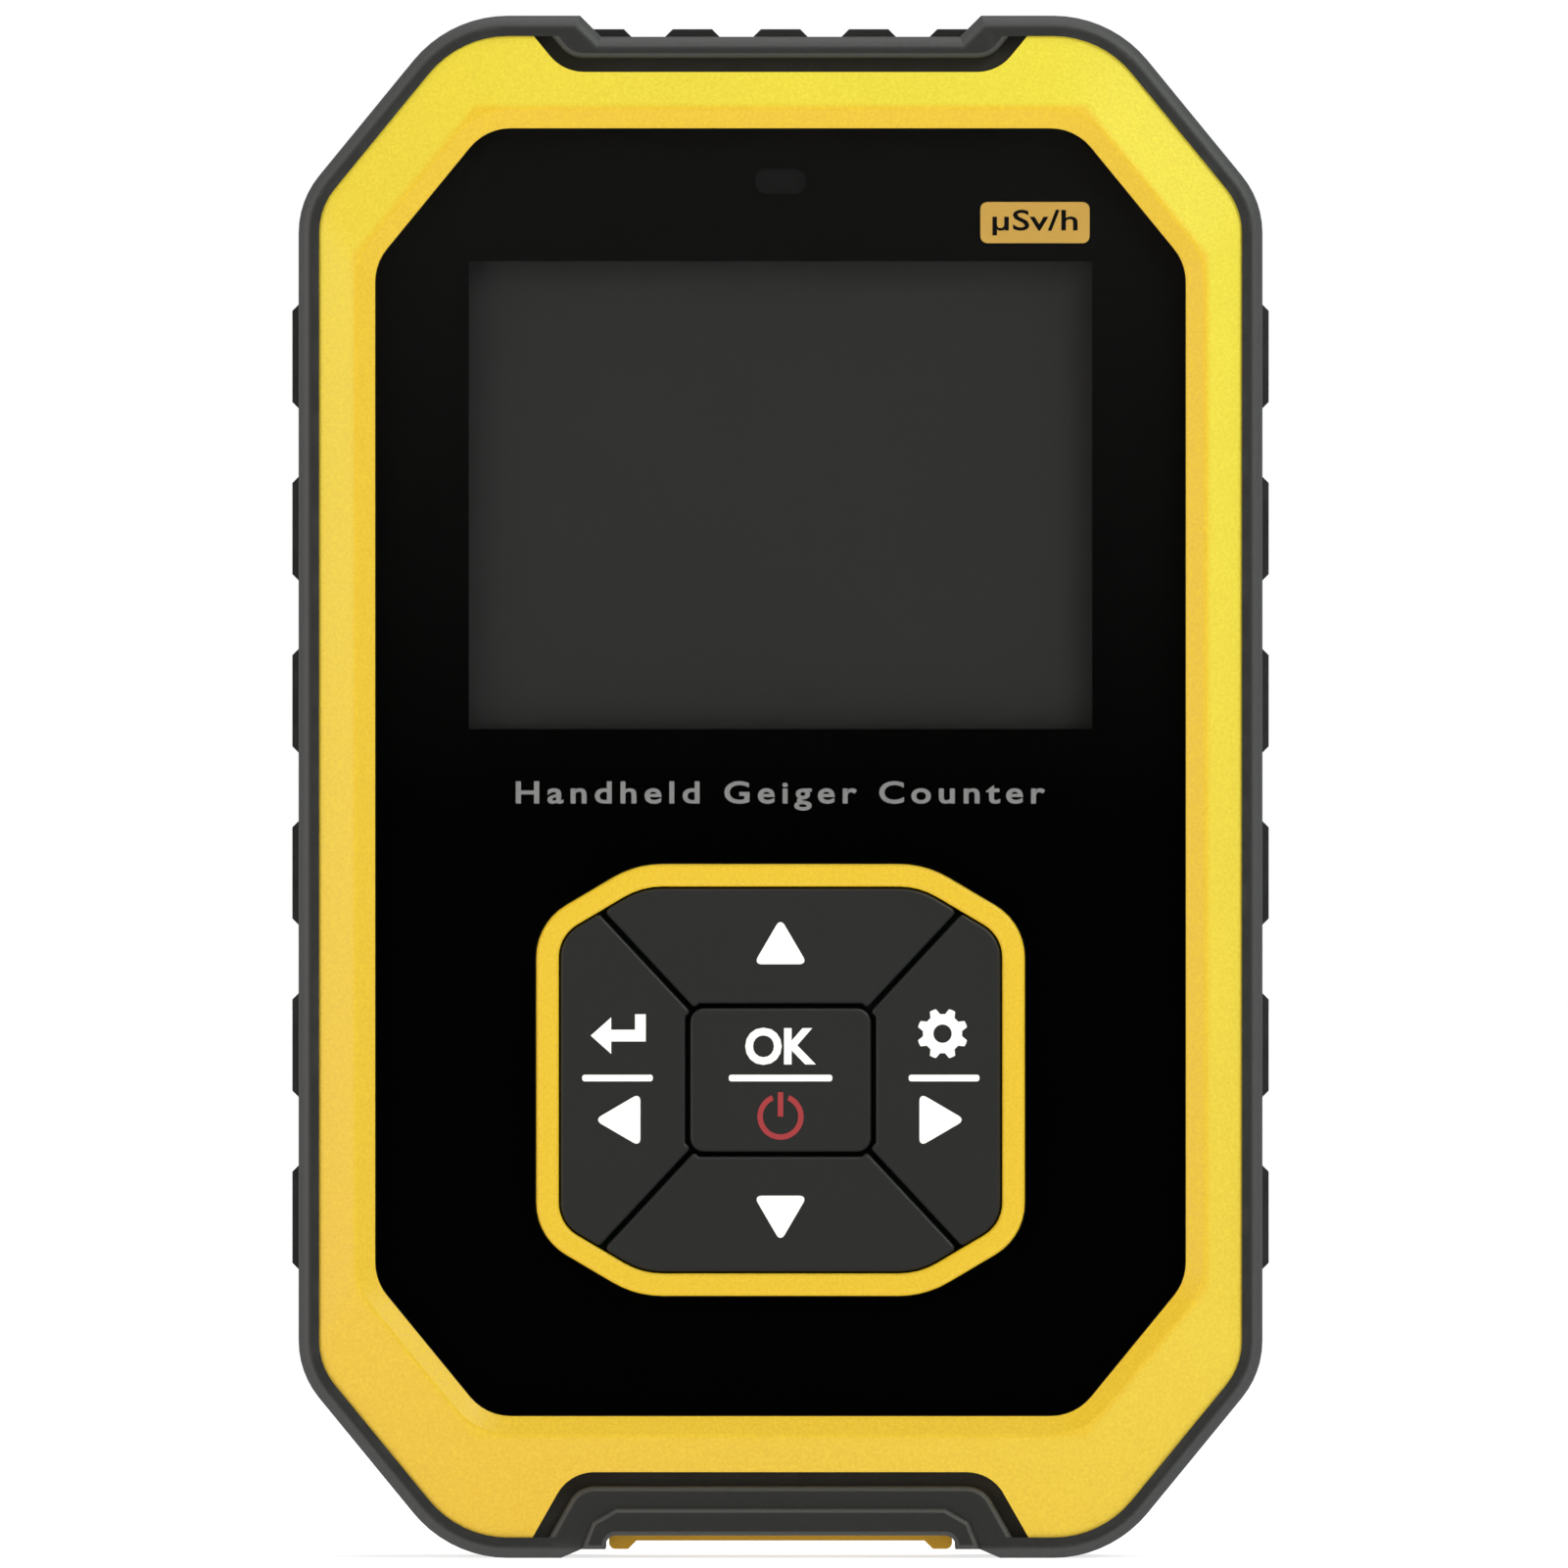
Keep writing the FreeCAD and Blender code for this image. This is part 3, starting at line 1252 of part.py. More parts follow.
def make_lead(label, x, start, socket_back):
    """A wire that leaves the cell downwards and bends forwards into its socket."""
    body = body_named(label)
    out = less(BATTERY_BACK, "battery_thickness / 2")
    low = board_z("lead_socket")
    path = sketch_on(body, "Path", "YZ_Plane", x)
    corner = (y_at(out), low)
    turn = (y_at(out), plus(low, "lead_bend"))
    leave = (less(y_at(out), "lead_bend"), low)
    centre = (less(y_at(out), "lead_bend"), plus(low, "lead_bend"))
    places = [FreeCAD.Vector(number(a), number(b), 0) for a, b in (turn, leave, centre)]
    top = FreeCAD.Vector(number(y_at(out)), number(start), 0)
    end = FreeCAD.Vector(number(y_at(socket_back)), number(low), 0)
    bend = Part.Circle(places[2], FreeCAD.Vector(0, 0, 1), number("lead_bend"))
    run = path.addGeometry(Part.LineSegment(top, places[0]))
    arc = path.addGeometry(Part.ArcOfCircle(bend, -math.pi / 2, 0))
    tail = path.addGeometry(Part.LineSegment(places[1], end))
    for line, point, place in ((run, 1, (y_at(out), start)), (tail, 2, (y_at(socket_back), low))):
        held = fixed_point(path, *place)
        constrain(path, Sketcher.Constraint("Coincident", line, point, held, 1))
    middle = fixed_point(path, *corner)
    constrain(path, Sketcher.Constraint("PointOnObject", middle, 1, run))
    constrain(path, Sketcher.Constraint("PointOnObject", middle, 1, tail))
    constrain(path, Sketcher.Constraint("Tangent", run, 2, arc, 2))
    constrain(path, Sketcher.Constraint("Tangent", arc, 1, tail, 1))
    constrain(path, Sketcher.Constraint("Radius", arc, number("lead_bend")), "lead_bend")
    section = circle(sketch_on(body, "Section", "XY_Plane", start), x, y_at(out), "lead_radius")
    pipe = body.newObject("PartDesign::AdditivePipe", "Wire")
    pipe.Profile = section
    pipe.Spine = path
    path.Visibility = section.Visibility = False


# ---------------------------------------------------------------- build


make_front_shell()
make_front_bumper()
make_rear_shell()
make_rear_bumper()
make_lens()
make_display()
make_indicator()
make_keypad()
make_board()
make_buzzer()
make_socket()
make_screws()
make_kickstand()
make_label()
make_tube()
make_battery()
doc.recompute()

failed = [thing.Label for thing in doc.Objects if {"Invalid", "Error"} & set(thing.State)]
failed += [thing.Label for thing in nodes if thing.Shape.isNull() or not thing.Shape.isValid()]
if failed:
    raise RuntimeError(f"these objects failed: {failed}")
os.makedirs("parts", exist_ok=True)
for thing in nodes:
    thing.Shape.exportStep(f"parts/{thing.Label}.step")
print(f"{len(nodes)} nodes")
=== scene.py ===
"""Handheld Geiger counter: finishes, printed window, key legends and small fittings.

The case, bumpers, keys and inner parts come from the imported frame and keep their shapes. This file gives
them their finishes, puts a clear window with its printed back in place of the plain one, prints the keys,
and sets up a plain studio. Lengths are metres: the display faces -Y and +Z is up.
"""
import json
import math

import bpy
from bpy.props import FloatProperty, FloatVectorProperty, IntProperty, PointerProperty, StringProperty
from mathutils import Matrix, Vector


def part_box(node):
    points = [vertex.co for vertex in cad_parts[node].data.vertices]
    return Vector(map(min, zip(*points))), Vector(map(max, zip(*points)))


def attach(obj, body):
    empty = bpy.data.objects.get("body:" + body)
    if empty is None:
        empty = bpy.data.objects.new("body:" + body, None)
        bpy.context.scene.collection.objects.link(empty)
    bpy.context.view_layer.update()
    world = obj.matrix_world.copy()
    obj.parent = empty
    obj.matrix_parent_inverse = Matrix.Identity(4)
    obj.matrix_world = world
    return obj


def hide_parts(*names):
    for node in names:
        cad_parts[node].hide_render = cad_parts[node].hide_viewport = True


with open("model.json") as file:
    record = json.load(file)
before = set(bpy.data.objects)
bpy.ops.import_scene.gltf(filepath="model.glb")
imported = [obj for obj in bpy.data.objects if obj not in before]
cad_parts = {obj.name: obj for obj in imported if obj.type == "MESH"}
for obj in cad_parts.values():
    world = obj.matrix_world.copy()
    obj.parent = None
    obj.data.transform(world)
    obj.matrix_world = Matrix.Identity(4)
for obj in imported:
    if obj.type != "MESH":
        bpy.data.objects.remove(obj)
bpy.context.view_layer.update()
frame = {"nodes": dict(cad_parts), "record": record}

bl_info = {
    "name": "Geiger Counter",
    "version": (1, 0, 0),
    "blender": (4, 5, 0),
    "location": "3D View > Sidebar > Geiger",
    "description": "Finishes and small pieces of a handheld Geiger counter",
    "category": "Object",
}

MM = 0.001
FRONT = math.pi / 2
# The direction square to the cut corners of the case and the window, across and up.
CUT_TURN = math.radians(50.7)
CUT = (math.sin(CUT_TURN), math.cos(CUT_TURN))
# How far the crest of the frame lies outside the window.
CREST_MARGIN = 1.6 * MM
# Middles of the legends, across and up from the middle of the middle key.
LEGEND_PLACES = {
    "up": (0.0, 10.8 * MM),
    "down": (0.0, -10.8 * MM),
    "left": (-12.7 * MM, -3.1 * MM),
    "right": (12.6 * MM, -3.1 * MM),
    "return": (-10.9 * MM, 3.45 * MM),
    "gear": (12.6 * MM, 3.6 * MM),
    "ok": (0.0, 2.62 * MM),
    "power": (0.0, -2.85 * MM),
}
# The lines between the legends of a key: across, and length.
RULES = {"left": (-12.68 * MM, 5.5 * MM), "right": (12.72 * MM, 5.5 * MM), "ok": (0.0, 8.05 * MM)}
RULE_RISE = 0.15 * MM


# ---------------------------------------------------------------- settings


def colour(name, description, default):
    return FloatVectorProperty(
        name=name, description=description, default=default, subtype="COLOR", size=3, min=0.0, max=1.0
    )


def length(name, description, millimetres):
    default = millimetres * MM
    return FloatProperty(name=name, description=description, default=default, unit="LENGTH", precision=5)


class GeigerFinishes(bpy.types.PropertyGroup):
    """Colours of the counter's finishes"""

    # Painted light and shade: the frame is lit lemon at its upper right and shaded amber at its lower left.
    frame_lit_lemon: colour("Frame lit lemon", "Moulded plastic at the frame's upper right", (0.70, 0.575, 0.030))
    frame_shaded_amber: colour("Frame shaded amber", "Moulded plastic at the frame's lower left", (0.70, 0.430, 0.024))
    # Painted shade: the bevel round the window and the keypad's ring are a deeper yellow than the frame.
    bevel_shaded_yellow: colour("Bevel shaded yellow", "Bevel round the window and the keypad's ring", (0.70, 0.44, 0.012))
    stand_yellow: colour("Stand yellow", "Moulded plastic of the kickstand", (0.80, 0.42, 0.020))
    # Painted shade and sheen: the bumper is darker on its flat front faces and paler wherever it turns away.
    bumper_shaded_grey: colour("Bumper shaded grey", "Rubber overmould, flat faces at the front", (0.0125, 0.0127, 0.013))
    bumper_lit_rim: colour("Bumper lit rim", "Rubber overmould, everywhere else", (0.047, 0.048, 0.050))
    shell_black: colour("Shell black", "Rear shell", (0.020, 0.020, 0.022))
    key_grey: colour("Key grey", "Silicone of the keys", (0.0100, 0.0101, 0.0106))
    print_black: colour("Print black", "Ink behind the window, low down", (0.0007, 0.0007, 0.0007))
    # Painted reflection: the black print is paler towards the top of the window.
    print_reflection_grey: colour("Print reflection grey", "Ink behind the window, at the top", (0.0066, 0.0066, 0.0066))
    display_grey: colour("Display grey", "Display when it is off", (0.0265, 0.0265, 0.0268))
    legend_white: colour("Legend white", "Print on the keys", (0.86, 0.86, 0.86))
    legend_red: colour("Legend red", "Power symbol", (0.34, 0.024, 0.030))
    title_grey: colour("Title grey", "Words below the display", (0.25, 0.25, 0.26))
    badge_amber: colour("Badge amber", "Unit badge above the display", (0.58, 0.35, 0.085))
    board_green: colour("Board green", "Solder mask", (0.010, 0.115, 0.035))


class GeigerSizes(bpy.types.PropertyGroup):
    """Sizes of the pieces made here"""

    ink: length("Ink", "How far a print stands off its surface", 0.02)
    print_depth: length("Print layer", "Thickness of the black layer behind the window", 0.1)
    display_width: length("Display width", "Clear opening in the black print", 48.5)
    display_height: length("Display height", "Clear opening in the black print", 36.4)
    lamp_width: length("Lamp width", "Smoked spot in front of the indicator", 4.0)
    lamp_height: length("Lamp height", "Smoked spot in front of the indicator", 2.0)
    badge_width: length("Badge width", "Unit badge", 8.5)
    badge_height: length("Badge height", "Unit badge", 3.2)
    badge_x: length("Badge place", "Middle of the unit badge, across from the case's middle", 19.8)
    badge_z: length("Badge height off the floor", "Middle of the unit badge", 103.9)
    unit_height: length("Unit height", "Letters on the badge", 2.0)
    title_width: length("Title width", "Words below the display", 41.2)
    title_height: length("Title height", "Words below the display", 2.3)
    title_drop: length("Title drop", "From the display's middle down to the words", 23.4)
    arrow_width: length("Arrow width", "Base of the arrows on the keys", 4.2)
    arrow_height: length("Arrow height", "Height of the arrows on the keys", 3.6)
    arrow_round: length("Arrow rounding", "Corners of the arrows", 0.62)
    rule_height: length("Rule", "Thickness of the lines between legends", 0.52)
    gear_radius: length("Gear radius", "Settings symbol", 1.98)
    gear_teeth: IntProperty(name="Gear teeth", description="Teeth of the settings symbol", default=8, min=5)
    power_radius: length("Power radius", "Power symbol, outside", 1.8)
    power_line: length("Power line", "Power symbol, line width", 0.42)
    ok_width: length("OK width", "Word on the middle key", 5.5)
    ok_height: length("OK height", "Word on the middle key", 2.9)
    title: StringProperty(
        name="Title", description="Generic words below the display", default="Handheld Geiger Counter"
    )
    badge: StringProperty(name="Badge", description="Unit on the badge", default="µSv/h")


# ---------------------------------------------------------------- pieces by hand


def centre_of(node):
    low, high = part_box(node)
    return (low + high) / 2


def deselect():
    if bpy.context.object and bpy.context.object.mode != "OBJECT":
        bpy.ops.object.mode_set(mode="OBJECT")
    bpy.ops.object.select_all(action="DESELECT")


def take(obj):
    """Makes an object the only one selected, and the active one."""
    deselect()
    obj.select_set(True)
    bpy.context.view_layer.objects.active = obj


def apply_place(obj):
    take(obj)
    bpy.ops.object.transform_apply(location=True, rotation=True, scale=True)


def named(name):
    obj = bpy.context.object
    obj.name = name
    obj.data.name = name
    return obj


def side_of(obj, test):
    """Selects the vertices of a mesh that pass a test of their place, and stays in edit mode."""
    if obj.mode == "EDIT":
        bpy.ops.mesh.select_all(action="DESELECT")
        bpy.ops.object.mode_set(mode="OBJECT")
    for part in (*obj.data.vertices, *obj.data.edges, *obj.data.polygons):
        part.select = False
    for vertex in obj.data.vertices:
        vertex.select = test(vertex.co)
    bpy.ops.object.mode_set(mode="EDIT")
    bpy.ops.mesh.select_mode(type="VERT")


def apply_modifier(obj, kind, **settings):
    take(obj)
    modifier = obj.modifiers.new(kind.title(), kind)
    for key, value in settings.items():
        setattr(modifier, key, value)
    bpy.ops.object.modifier_apply(modifier=modifier.name)


def finish_piece(obj, body, material):
    """Gives a finished piece its material and its body."""
    obj.data.materials.clear()
    obj.data.materials.append(material)
    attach(obj, body)


def thicken(thickness):
    """Draws the selected flat face of the mesh in edit mode forwards into a closed print."""
    bpy.ops.mesh.extrude_region_move(TRANSFORM_OT_translate={"value": (0, -thickness, 0)})
    bpy.ops.mesh.select_all(action="SELECT")
    bpy.ops.mesh.normals_make_consistent(inside=False)
    bpy.ops.object.mode_set(mode="OBJECT")


def flat_block(name, centre, width, height, thickness, radius=0.0, segments=6):
    """A thin upright plate that faces the reader, with rounded corners."""
    deselect()
    bpy.ops.mesh.primitive_plane_add(size=1, location=centre, rotation=(FRONT, 0, 0))
    obj = named(name)
    obj.scale = (width, height, 1)
    apply_place(obj)
    bpy.ops.object.mode_set(mode="EDIT")
    bpy.ops.mesh.select_all(action="SELECT")
    if radius:
        bpy.ops.mesh.bevel(offset=radius, segments=segments, affect="VERTICES")
        bpy.ops.mesh.select_all(action="SELECT")
    thicken(thickness)
    return obj


def arrow(name, centre, turn, width, height, radius, thickness):
    """A triangle with rounded corners. With no turn it points up."""
    deselect()
    bpy.ops.mesh.primitive_circle_add(vertices=3, radius=1, fill_type="NGON", rotation=(FRONT, 0, 0))
    obj = named(name)
    bpy.ops.object.transform_apply(rotation=True)
    low = min(v.co.z for v in obj.data.vertices)
    high = max(v.co.z for v in obj.data.vertices)
    side = max(v.co.x for v in obj.data.vertices)
    obj.scale = (width / (2 * side), 1, height / (high - low))
    middle = (high + low) / 2 * obj.scale.z
    obj.location = (0, 0, -middle)
    apply_place(obj)
    obj.rotation_euler = (0, turn, 0)
    obj.location = centre
    apply_place(obj)
    bpy.ops.object.mode_set(mode="EDIT")
    bpy.ops.mesh.select_all(action="SELECT")
    bpy.ops.mesh.bevel(offset=radius, segments=5, affect="VERTICES")
    bpy.ops.mesh.select_all(action="SELECT")
    thicken(thickness)
    return obj


def words(name, text, centre, width, height, thickness, spacing=1.0, bold=0.0):
    """Printed words as a mesh, fitted to a width and a height."""
    deselect()
    bpy.ops.object.text_add(rotation=(FRONT, 0, 0))
    obj = named(name)
    obj.data.body = text
    obj.data.align_x, obj.data.align_y = "CENTER", "CENTER"
    obj.data.space_character = spacing
    obj.data.offset = bold
    obj.data.extrude = 0.5
    obj.data.resolution_u = 4
    take(obj)
    bpy.ops.object.convert(target="MESH")
    obj = bpy.context.object
    apply_place(obj)
    corners = [Vector(c) for c in obj.bound_box]
    low = Vector(map(min, zip(*corners)))
    high = Vector(map(max, zip(*corners)))
    size = high - low
    obj.scale = (width / size.x, thickness / size.y, height / size.z)
    middle = (low + high) / 2
    obj.location = Vector(centre) - Vector(m * s for m, s in zip(middle, obj.scale))
    obj.location.y -= thickness / 2
    apply_place(obj)
    bpy.ops.object.mode_set(mode="EDIT")
    bpy.ops.mesh.select_all(action="SELECT")
    bpy.ops.mesh.remove_doubles(threshold=MM * 1e-4)
    bpy.ops.mesh.normals_make_consistent(inside=False)
    bpy.ops.object.mode_set(mode="OBJECT")
    return obj


def joined(name, pieces):
    deselect()
    for piece in pieces:
        piece.select_set(True)
    bpy.context.view_layer.objects.active = pieces[0]
    bpy.ops.object.join()
    return named(name)


def copy_of_node(name, node):
    """A merged copy of a CAD node's mesh, as a start for a better piece."""
    source = frame["nodes"][node]
    deselect()
    mesh = source.data.copy()
    obj = bpy.data.objects.new(name, mesh)
    bpy.context.scene.collection.objects.link(obj)
    take(obj)
    bpy.ops.object.mode_set(mode="EDIT")
    bpy.ops.mesh.select_all(action="SELECT")
    bpy.ops.mesh.remove_doubles(threshold=MM * 1e-3)
    bpy.ops.mesh.customdata_custom_splitnormals_clear()
    bpy.ops.object.mode_set(mode="OBJECT")
    return named(name)


def squeeze(obj, front, back):
    """Sets the depths of a plate's front and back faces."""
    depths = [corner[1] for corner in obj.bound_box]
    middle = (min(depths) + max(depths)) / 2
    for vertex in obj.data.vertices:
        vertex.co.y = front if vertex.co.y < middle else back


def cut_away(obj, tool):
    """Cuts one piece out of another and removes the tool."""
    apply_modifier(obj, "BOOLEAN", operation="DIFFERENCE", solver="EXACT", object=tool)
    take(tool)
    bpy.ops.object.delete()


# ---------------------------------------------------------------- shader groups


def new_group(name, inputs, outputs):
    """A shader node group with named sockets. Returns the tree and its end nodes."""
    tree = bpy.data.node_groups.new(name, "ShaderNodeTree")
    for label, kind, default in inputs:
        socket = tree.interface.new_socket(label, in_out="INPUT", socket_type=kind)
        socket.default_value = default
    for label, kind in outputs:
        tree.interface.new_socket(label, in_out="OUTPUT", socket_type=kind)
    return tree, tree.nodes.new("NodeGroupInput"), tree.nodes.new("NodeGroupOutput")


def add_node(tree, kind, links=None, **settings):
    """A node with its settings, and its inputs linked or set by name or number."""
    node = tree.nodes.new(kind)
    for key, value in settings.items():
        setattr(node, key, value)
    for key, value in (links or {}).items():
        if isinstance(value, bpy.types.NodeSocket):
            tree.links.new(value, node.inputs[key])
        else:
            node.inputs[key].default_value = value
    return node


def math_node(tree, operation, first, second):
    return add_node(tree, "ShaderNodeMath", {0: first, 1: second}, operation=operation).outputs[0]


def moulded_grain_group():
    """Spark-eroded mould texture: a fine height and a faint mask of brighter grains."""
    inputs = [("Grain Size", "NodeSocketFloat", 0.25 * MM), ("Blotch Size", "NodeSocketFloat", 9 * MM)]
    outputs = [(label, "NodeSocketFloat") for label in ("Height", "Grains", "Blotches")]
    tree, start, end = new_group("Moulded Grain", inputs, outputs)
    place = add_node(tree, "ShaderNodeTexCoord").outputs["Object"]
    fine_scale = math_node(tree, "DIVIDE", 1.0, start.outputs["Grain Size"])
    broad_scale = math_node(tree, "DIVIDE", 1.0, start.outputs["Blotch Size"])
    speckle = {"Vector": place, "Scale": fine_scale, "Detail": 2.0, "Roughness": 0.6}
    fine = add_node(tree, "ShaderNodeTexNoise", speckle)
    cells = {"Vector": place, "Scale": fine_scale}
    grains = add_node(tree, "ShaderNodeTexVoronoi", cells, feature="SMOOTH_F1")
    broad = add_node(tree, "ShaderNodeTexNoise", {"Vector": place, "Scale": broad_scale, "Detail": 3.0})
    height = math_node(tree, "ADD", fine.outputs["Fac"], grains.outputs["Distance"])
    spread = {"Value": fine.outputs["Fac"], "From Min": 0.35, "From Max": 0.7}
    sharp = add_node(tree, "ShaderNodeMapRange", spread)
    tree.links.new(height, end.inputs["Height"])
    tree.links.new(sharp.outputs["Result"], end.inputs["Grains"])
    tree.links.new(broad.outputs["Fac"], end.inputs["Blotches"])


def edge_wear_group():
    """A mask of the outer edges that hands rub, broken up by noise."""
    inputs = [("Amount", "NodeSocketFloat", 0.5), ("Patch Size", "NodeSocketFloat", 2 * MM)]
    tree, start, end = new_group("Edge Wear", inputs, [("Mask", "NodeSocketFloat")])
    place = add_node(tree, "ShaderNodeTexCoord").outputs["Object"]
    bend = add_node(tree, "ShaderNodeNewGeometry").outputs["Pointiness"]
    edges = add_node(tree, "ShaderNodeMapRange", {"Value": bend, "From Min": 0.51, "From Max": 0.58})
    scale = math_node(tree, "DIVIDE", 1.0, start.outputs["Patch Size"])
    patches = add_node(tree, "ShaderNodeTexNoise", {"Vector": place, "Scale": scale, "Detail": 4.0})
    spread = {"Value": patches.outputs["Fac"], "From Min": 0.4, "From Max": 0.65}
    broken = add_node(tree, "ShaderNodeMapRange", spread)
    mask = math_node(tree, "MULTIPLY", edges.outputs["Result"], broken.outputs["Result"])
    amount = math_node(tree, "MULTIPLY", mask, start.outputs["Amount"])
    tree.links.new(amount, end.inputs["Mask"])


def dust_group():
    """Specks and faint smears that change the roughness of a smooth surface."""
    inputs = [("Speck Size", "NodeSocketFloat", 1.5 * MM), ("Smear Size", "NodeSocketFloat", 25 * MM)]
    tree, start, end = new_group("Dust", inputs, [("Mask", "NodeSocketFloat")])
    place = add_node(tree, "ShaderNodeTexCoord").outputs["Object"]
    speck_scale = math_node(tree, "DIVIDE", 1.0, start.outputs["Speck Size"])
    smear_scale = math_node(tree, "DIVIDE", 1.0, start.outputs["Smear Size"])
    specks = add_node(tree, "ShaderNodeTexNoise", {"Vector": place, "Scale": speck_scale, "Detail": 2.0})
    smears = add_node(tree, "ShaderNodeTexNoise", {"Vector": place, "Scale": smear_scale, "Detail": 3.0})
    spread = {"Value": specks.outputs["Fac"], "From Min": 0.66, "From Max": 0.8}
    rare = add_node(tree, "ShaderNodeMapRange", spread)
    half = math_node(tree, "MULTIPLY", smears.outputs["Fac"], 0.5)
    mask = math_node(tree, "MAXIMUM", rare.outputs["Result"], half)
    tree.links.new(mask, end.inputs["Mask"])


def group_node(tree, name, **values):
    node = tree.nodes.new("ShaderNodeGroup")
    node.node_tree = bpy.data.node_groups[name]
    for key, value in values.items():
        node.inputs[key.replace("_", " ").title()].default_value = value
    return node


def new_material(name, **sockets):
    """A material with one Principled BSDF. Socket names are in plain words."""
    material = bpy.data.materials.new(name)
    material.use_nodes = True
    shader = material.node_tree.nodes["Principled BSDF"]
    for key, value in sockets.items():
        shader.inputs[key.replace("_", " ").title().replace("Ior", "IOR")].default_value = value
    return material, material.node_tree, shader


def tinted(tree, base, other, mask):
    """A colour that goes from one to another by a mask."""
    mix = add_node(tree, "ShaderNodeMix", {"Factor": mask}, data_type="RGBA")
    mix.inputs["A"].default_value = (*base, 1)
    mix.inputs["B"].default_value = (*other, 1)
    return mix.outputs["Result"]


def scaled(shade, factor):
    return tuple(min(1.0, c * factor) for c in shade)


def mixed_with(tree, base, other, mask):
    """A linked colour that goes over to a plain one by a mask."""
    mix = add_node(tree, "ShaderNodeMix", {"Factor": mask, "A": base}, data_type="RGBA")
    mix.inputs["B"].default_value = (*other, 1)
    return mix.outputs["Result"]


def drift_mask(tree, direction, start, end):
    """How far a place lies on the way from one height to another, along a direction."""
    place = add_node(tree, "ShaderNodeTexCoord").outputs["Object"]
    rise = add_node(tree, "ShaderNodeVectorMath", {0: place, 1: direction}, operation="DOT_PRODUCT")
    spread = {"Value": rise.outputs["Value"], "From Min": start, "From Max": end}
    return add_node(tree, "ShaderNodeMapRange", spread).outputs["Result"]


def inside_crest_group():
    """A mask of what lies inside an upright octagon about the case's middle."""
    labels = ("Half Width", "Half Height", "Middle", "Reach", "Softness")
    inputs = [(label, "NodeSocketFloat", 0.01) for label in labels]
    tree, start, end = new_group("Inside Crest", inputs, [("Mask", "NodeSocketFloat")])
    place = add_node(tree, "ShaderNodeTexCoord").outputs["Object"]
    axes = add_node(tree, "ShaderNodeSeparateXYZ", {0: place}).outputs
    across = add_node(tree, "ShaderNodeMath", {0: axes["X"]}, operation="ABSOLUTE").outputs[0]
    from_middle = math_node(tree, "SUBTRACT", axes["Z"], start.outputs["Middle"])
    along = add_node(tree, "ShaderNodeMath", {0: from_middle}, operation="ABSOLUTE").outputs[0]
    slants = [math_node(tree, "MULTIPLY", *pair) for pair in zip((across, along), CUT)]
    slant = math_node(tree, "ADD", *slants)
    outside = math_node(tree, "SUBTRACT", slant, start.outputs["Reach"])
    for distance, half in ((across, "Half Width"), (along, "Half Height")):
        beyond = math_node(tree, "SUBTRACT", distance, start.outputs[half])
        outside = math_node(tree, "MAXIMUM", outside, beyond)
    within = {"Value": outside, "From Min": start.outputs["Softness"], "From Max": 0.0}
    mask = add_node(tree, "ShaderNodeMapRange", within)
    tree.links.new(mask.outputs["Result"], end.inputs["Mask"])


def crest_octagon(node, grow):
    """Sizes of the octagon round a node's outline, grown by a margin."""
    low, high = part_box(node)
    middle = (low + high) / 2
    points = [vertex.co for vertex in frame["nodes"][node].data.vertices]
    reach = max(abs(p.x) * CUT[0] + abs(p.z - middle.z) * CUT[1] for p in points)
    return {
        "half_width": high.x + grow,
        "half_height": (high.z - low.z) / 2 + grow,
        "middle": middle.z,
        "reach": reach + grow,
    }


def frame_colour(tree, base, shaded_low_left, shaded_bevel):
    """The frame's colour, with painted light and shade: lit lemon towards the upper right, shaded amber
    towards the lower left, and a painted shade that deepens the bevel inside the crest.

    Painted shade: inside the crest, the frame that lies deeper than the window's back, such as the plate
    where it faces the window and the walls round the keys, is near black.
    """
    # Painted light and shade: the colour drifts from lit lemon at the upper right to shaded amber at the
    # lower left.
    to_upper_right, far, near = (0.63, 0.0, 0.78), 100 * MM, -8 * MM
    light_drifted = mixed_with(tree, base, shaded_low_left, drift_mask(tree, to_upper_right, far, near))
    octagon = crest_octagon("front_lens", CREST_MARGIN)
    inside = group_node(tree, "Inside Crest", softness=0.5 * MM, **octagon).outputs["Mask"]
    # Painted shade: the bevel inside the crest, and the keypad's ring, go over to a deeper yellow.
    bevel_shaded = mixed_with(tree, light_drifted, shaded_bevel, inside)
    window_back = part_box("front_lens")[1].y
    behind = drift_mask(tree, (0.0, 1.0, 0.0), window_back - 0.1 * MM, window_back)
    recess_shade_mask = math_node(tree, "MULTIPLY", inside, behind)
    # Near black painted shade in the recesses behind the window and round the keys.
    recess_shade_black = (0.006, 0.006, 0.006)
    return mixed_with(tree, bevel_shaded, recess_shade_black, recess_shade_mask)


def rubber_colour(tree, base, lit_rim_shade):
    """The bumper's colour, with painted shade and sheen: dark on its flat front faces, and paler wherever it
    turns away from them.
    """
    normal = add_node(tree, "ShaderNodeTexCoord").outputs["Normal"]
    depth = add_node(tree, "ShaderNodeSeparateXYZ", {0: normal}).outputs["Y"]
    spread = {"Value": depth, "From Min": -0.995, "From Max": -0.93}
    painted_sheen_mask = add_node(tree, "ShaderNodeMapRange", spread).outputs["Result"]
    return mixed_with(tree, base, lit_rim_shade, painted_sheen_mask)


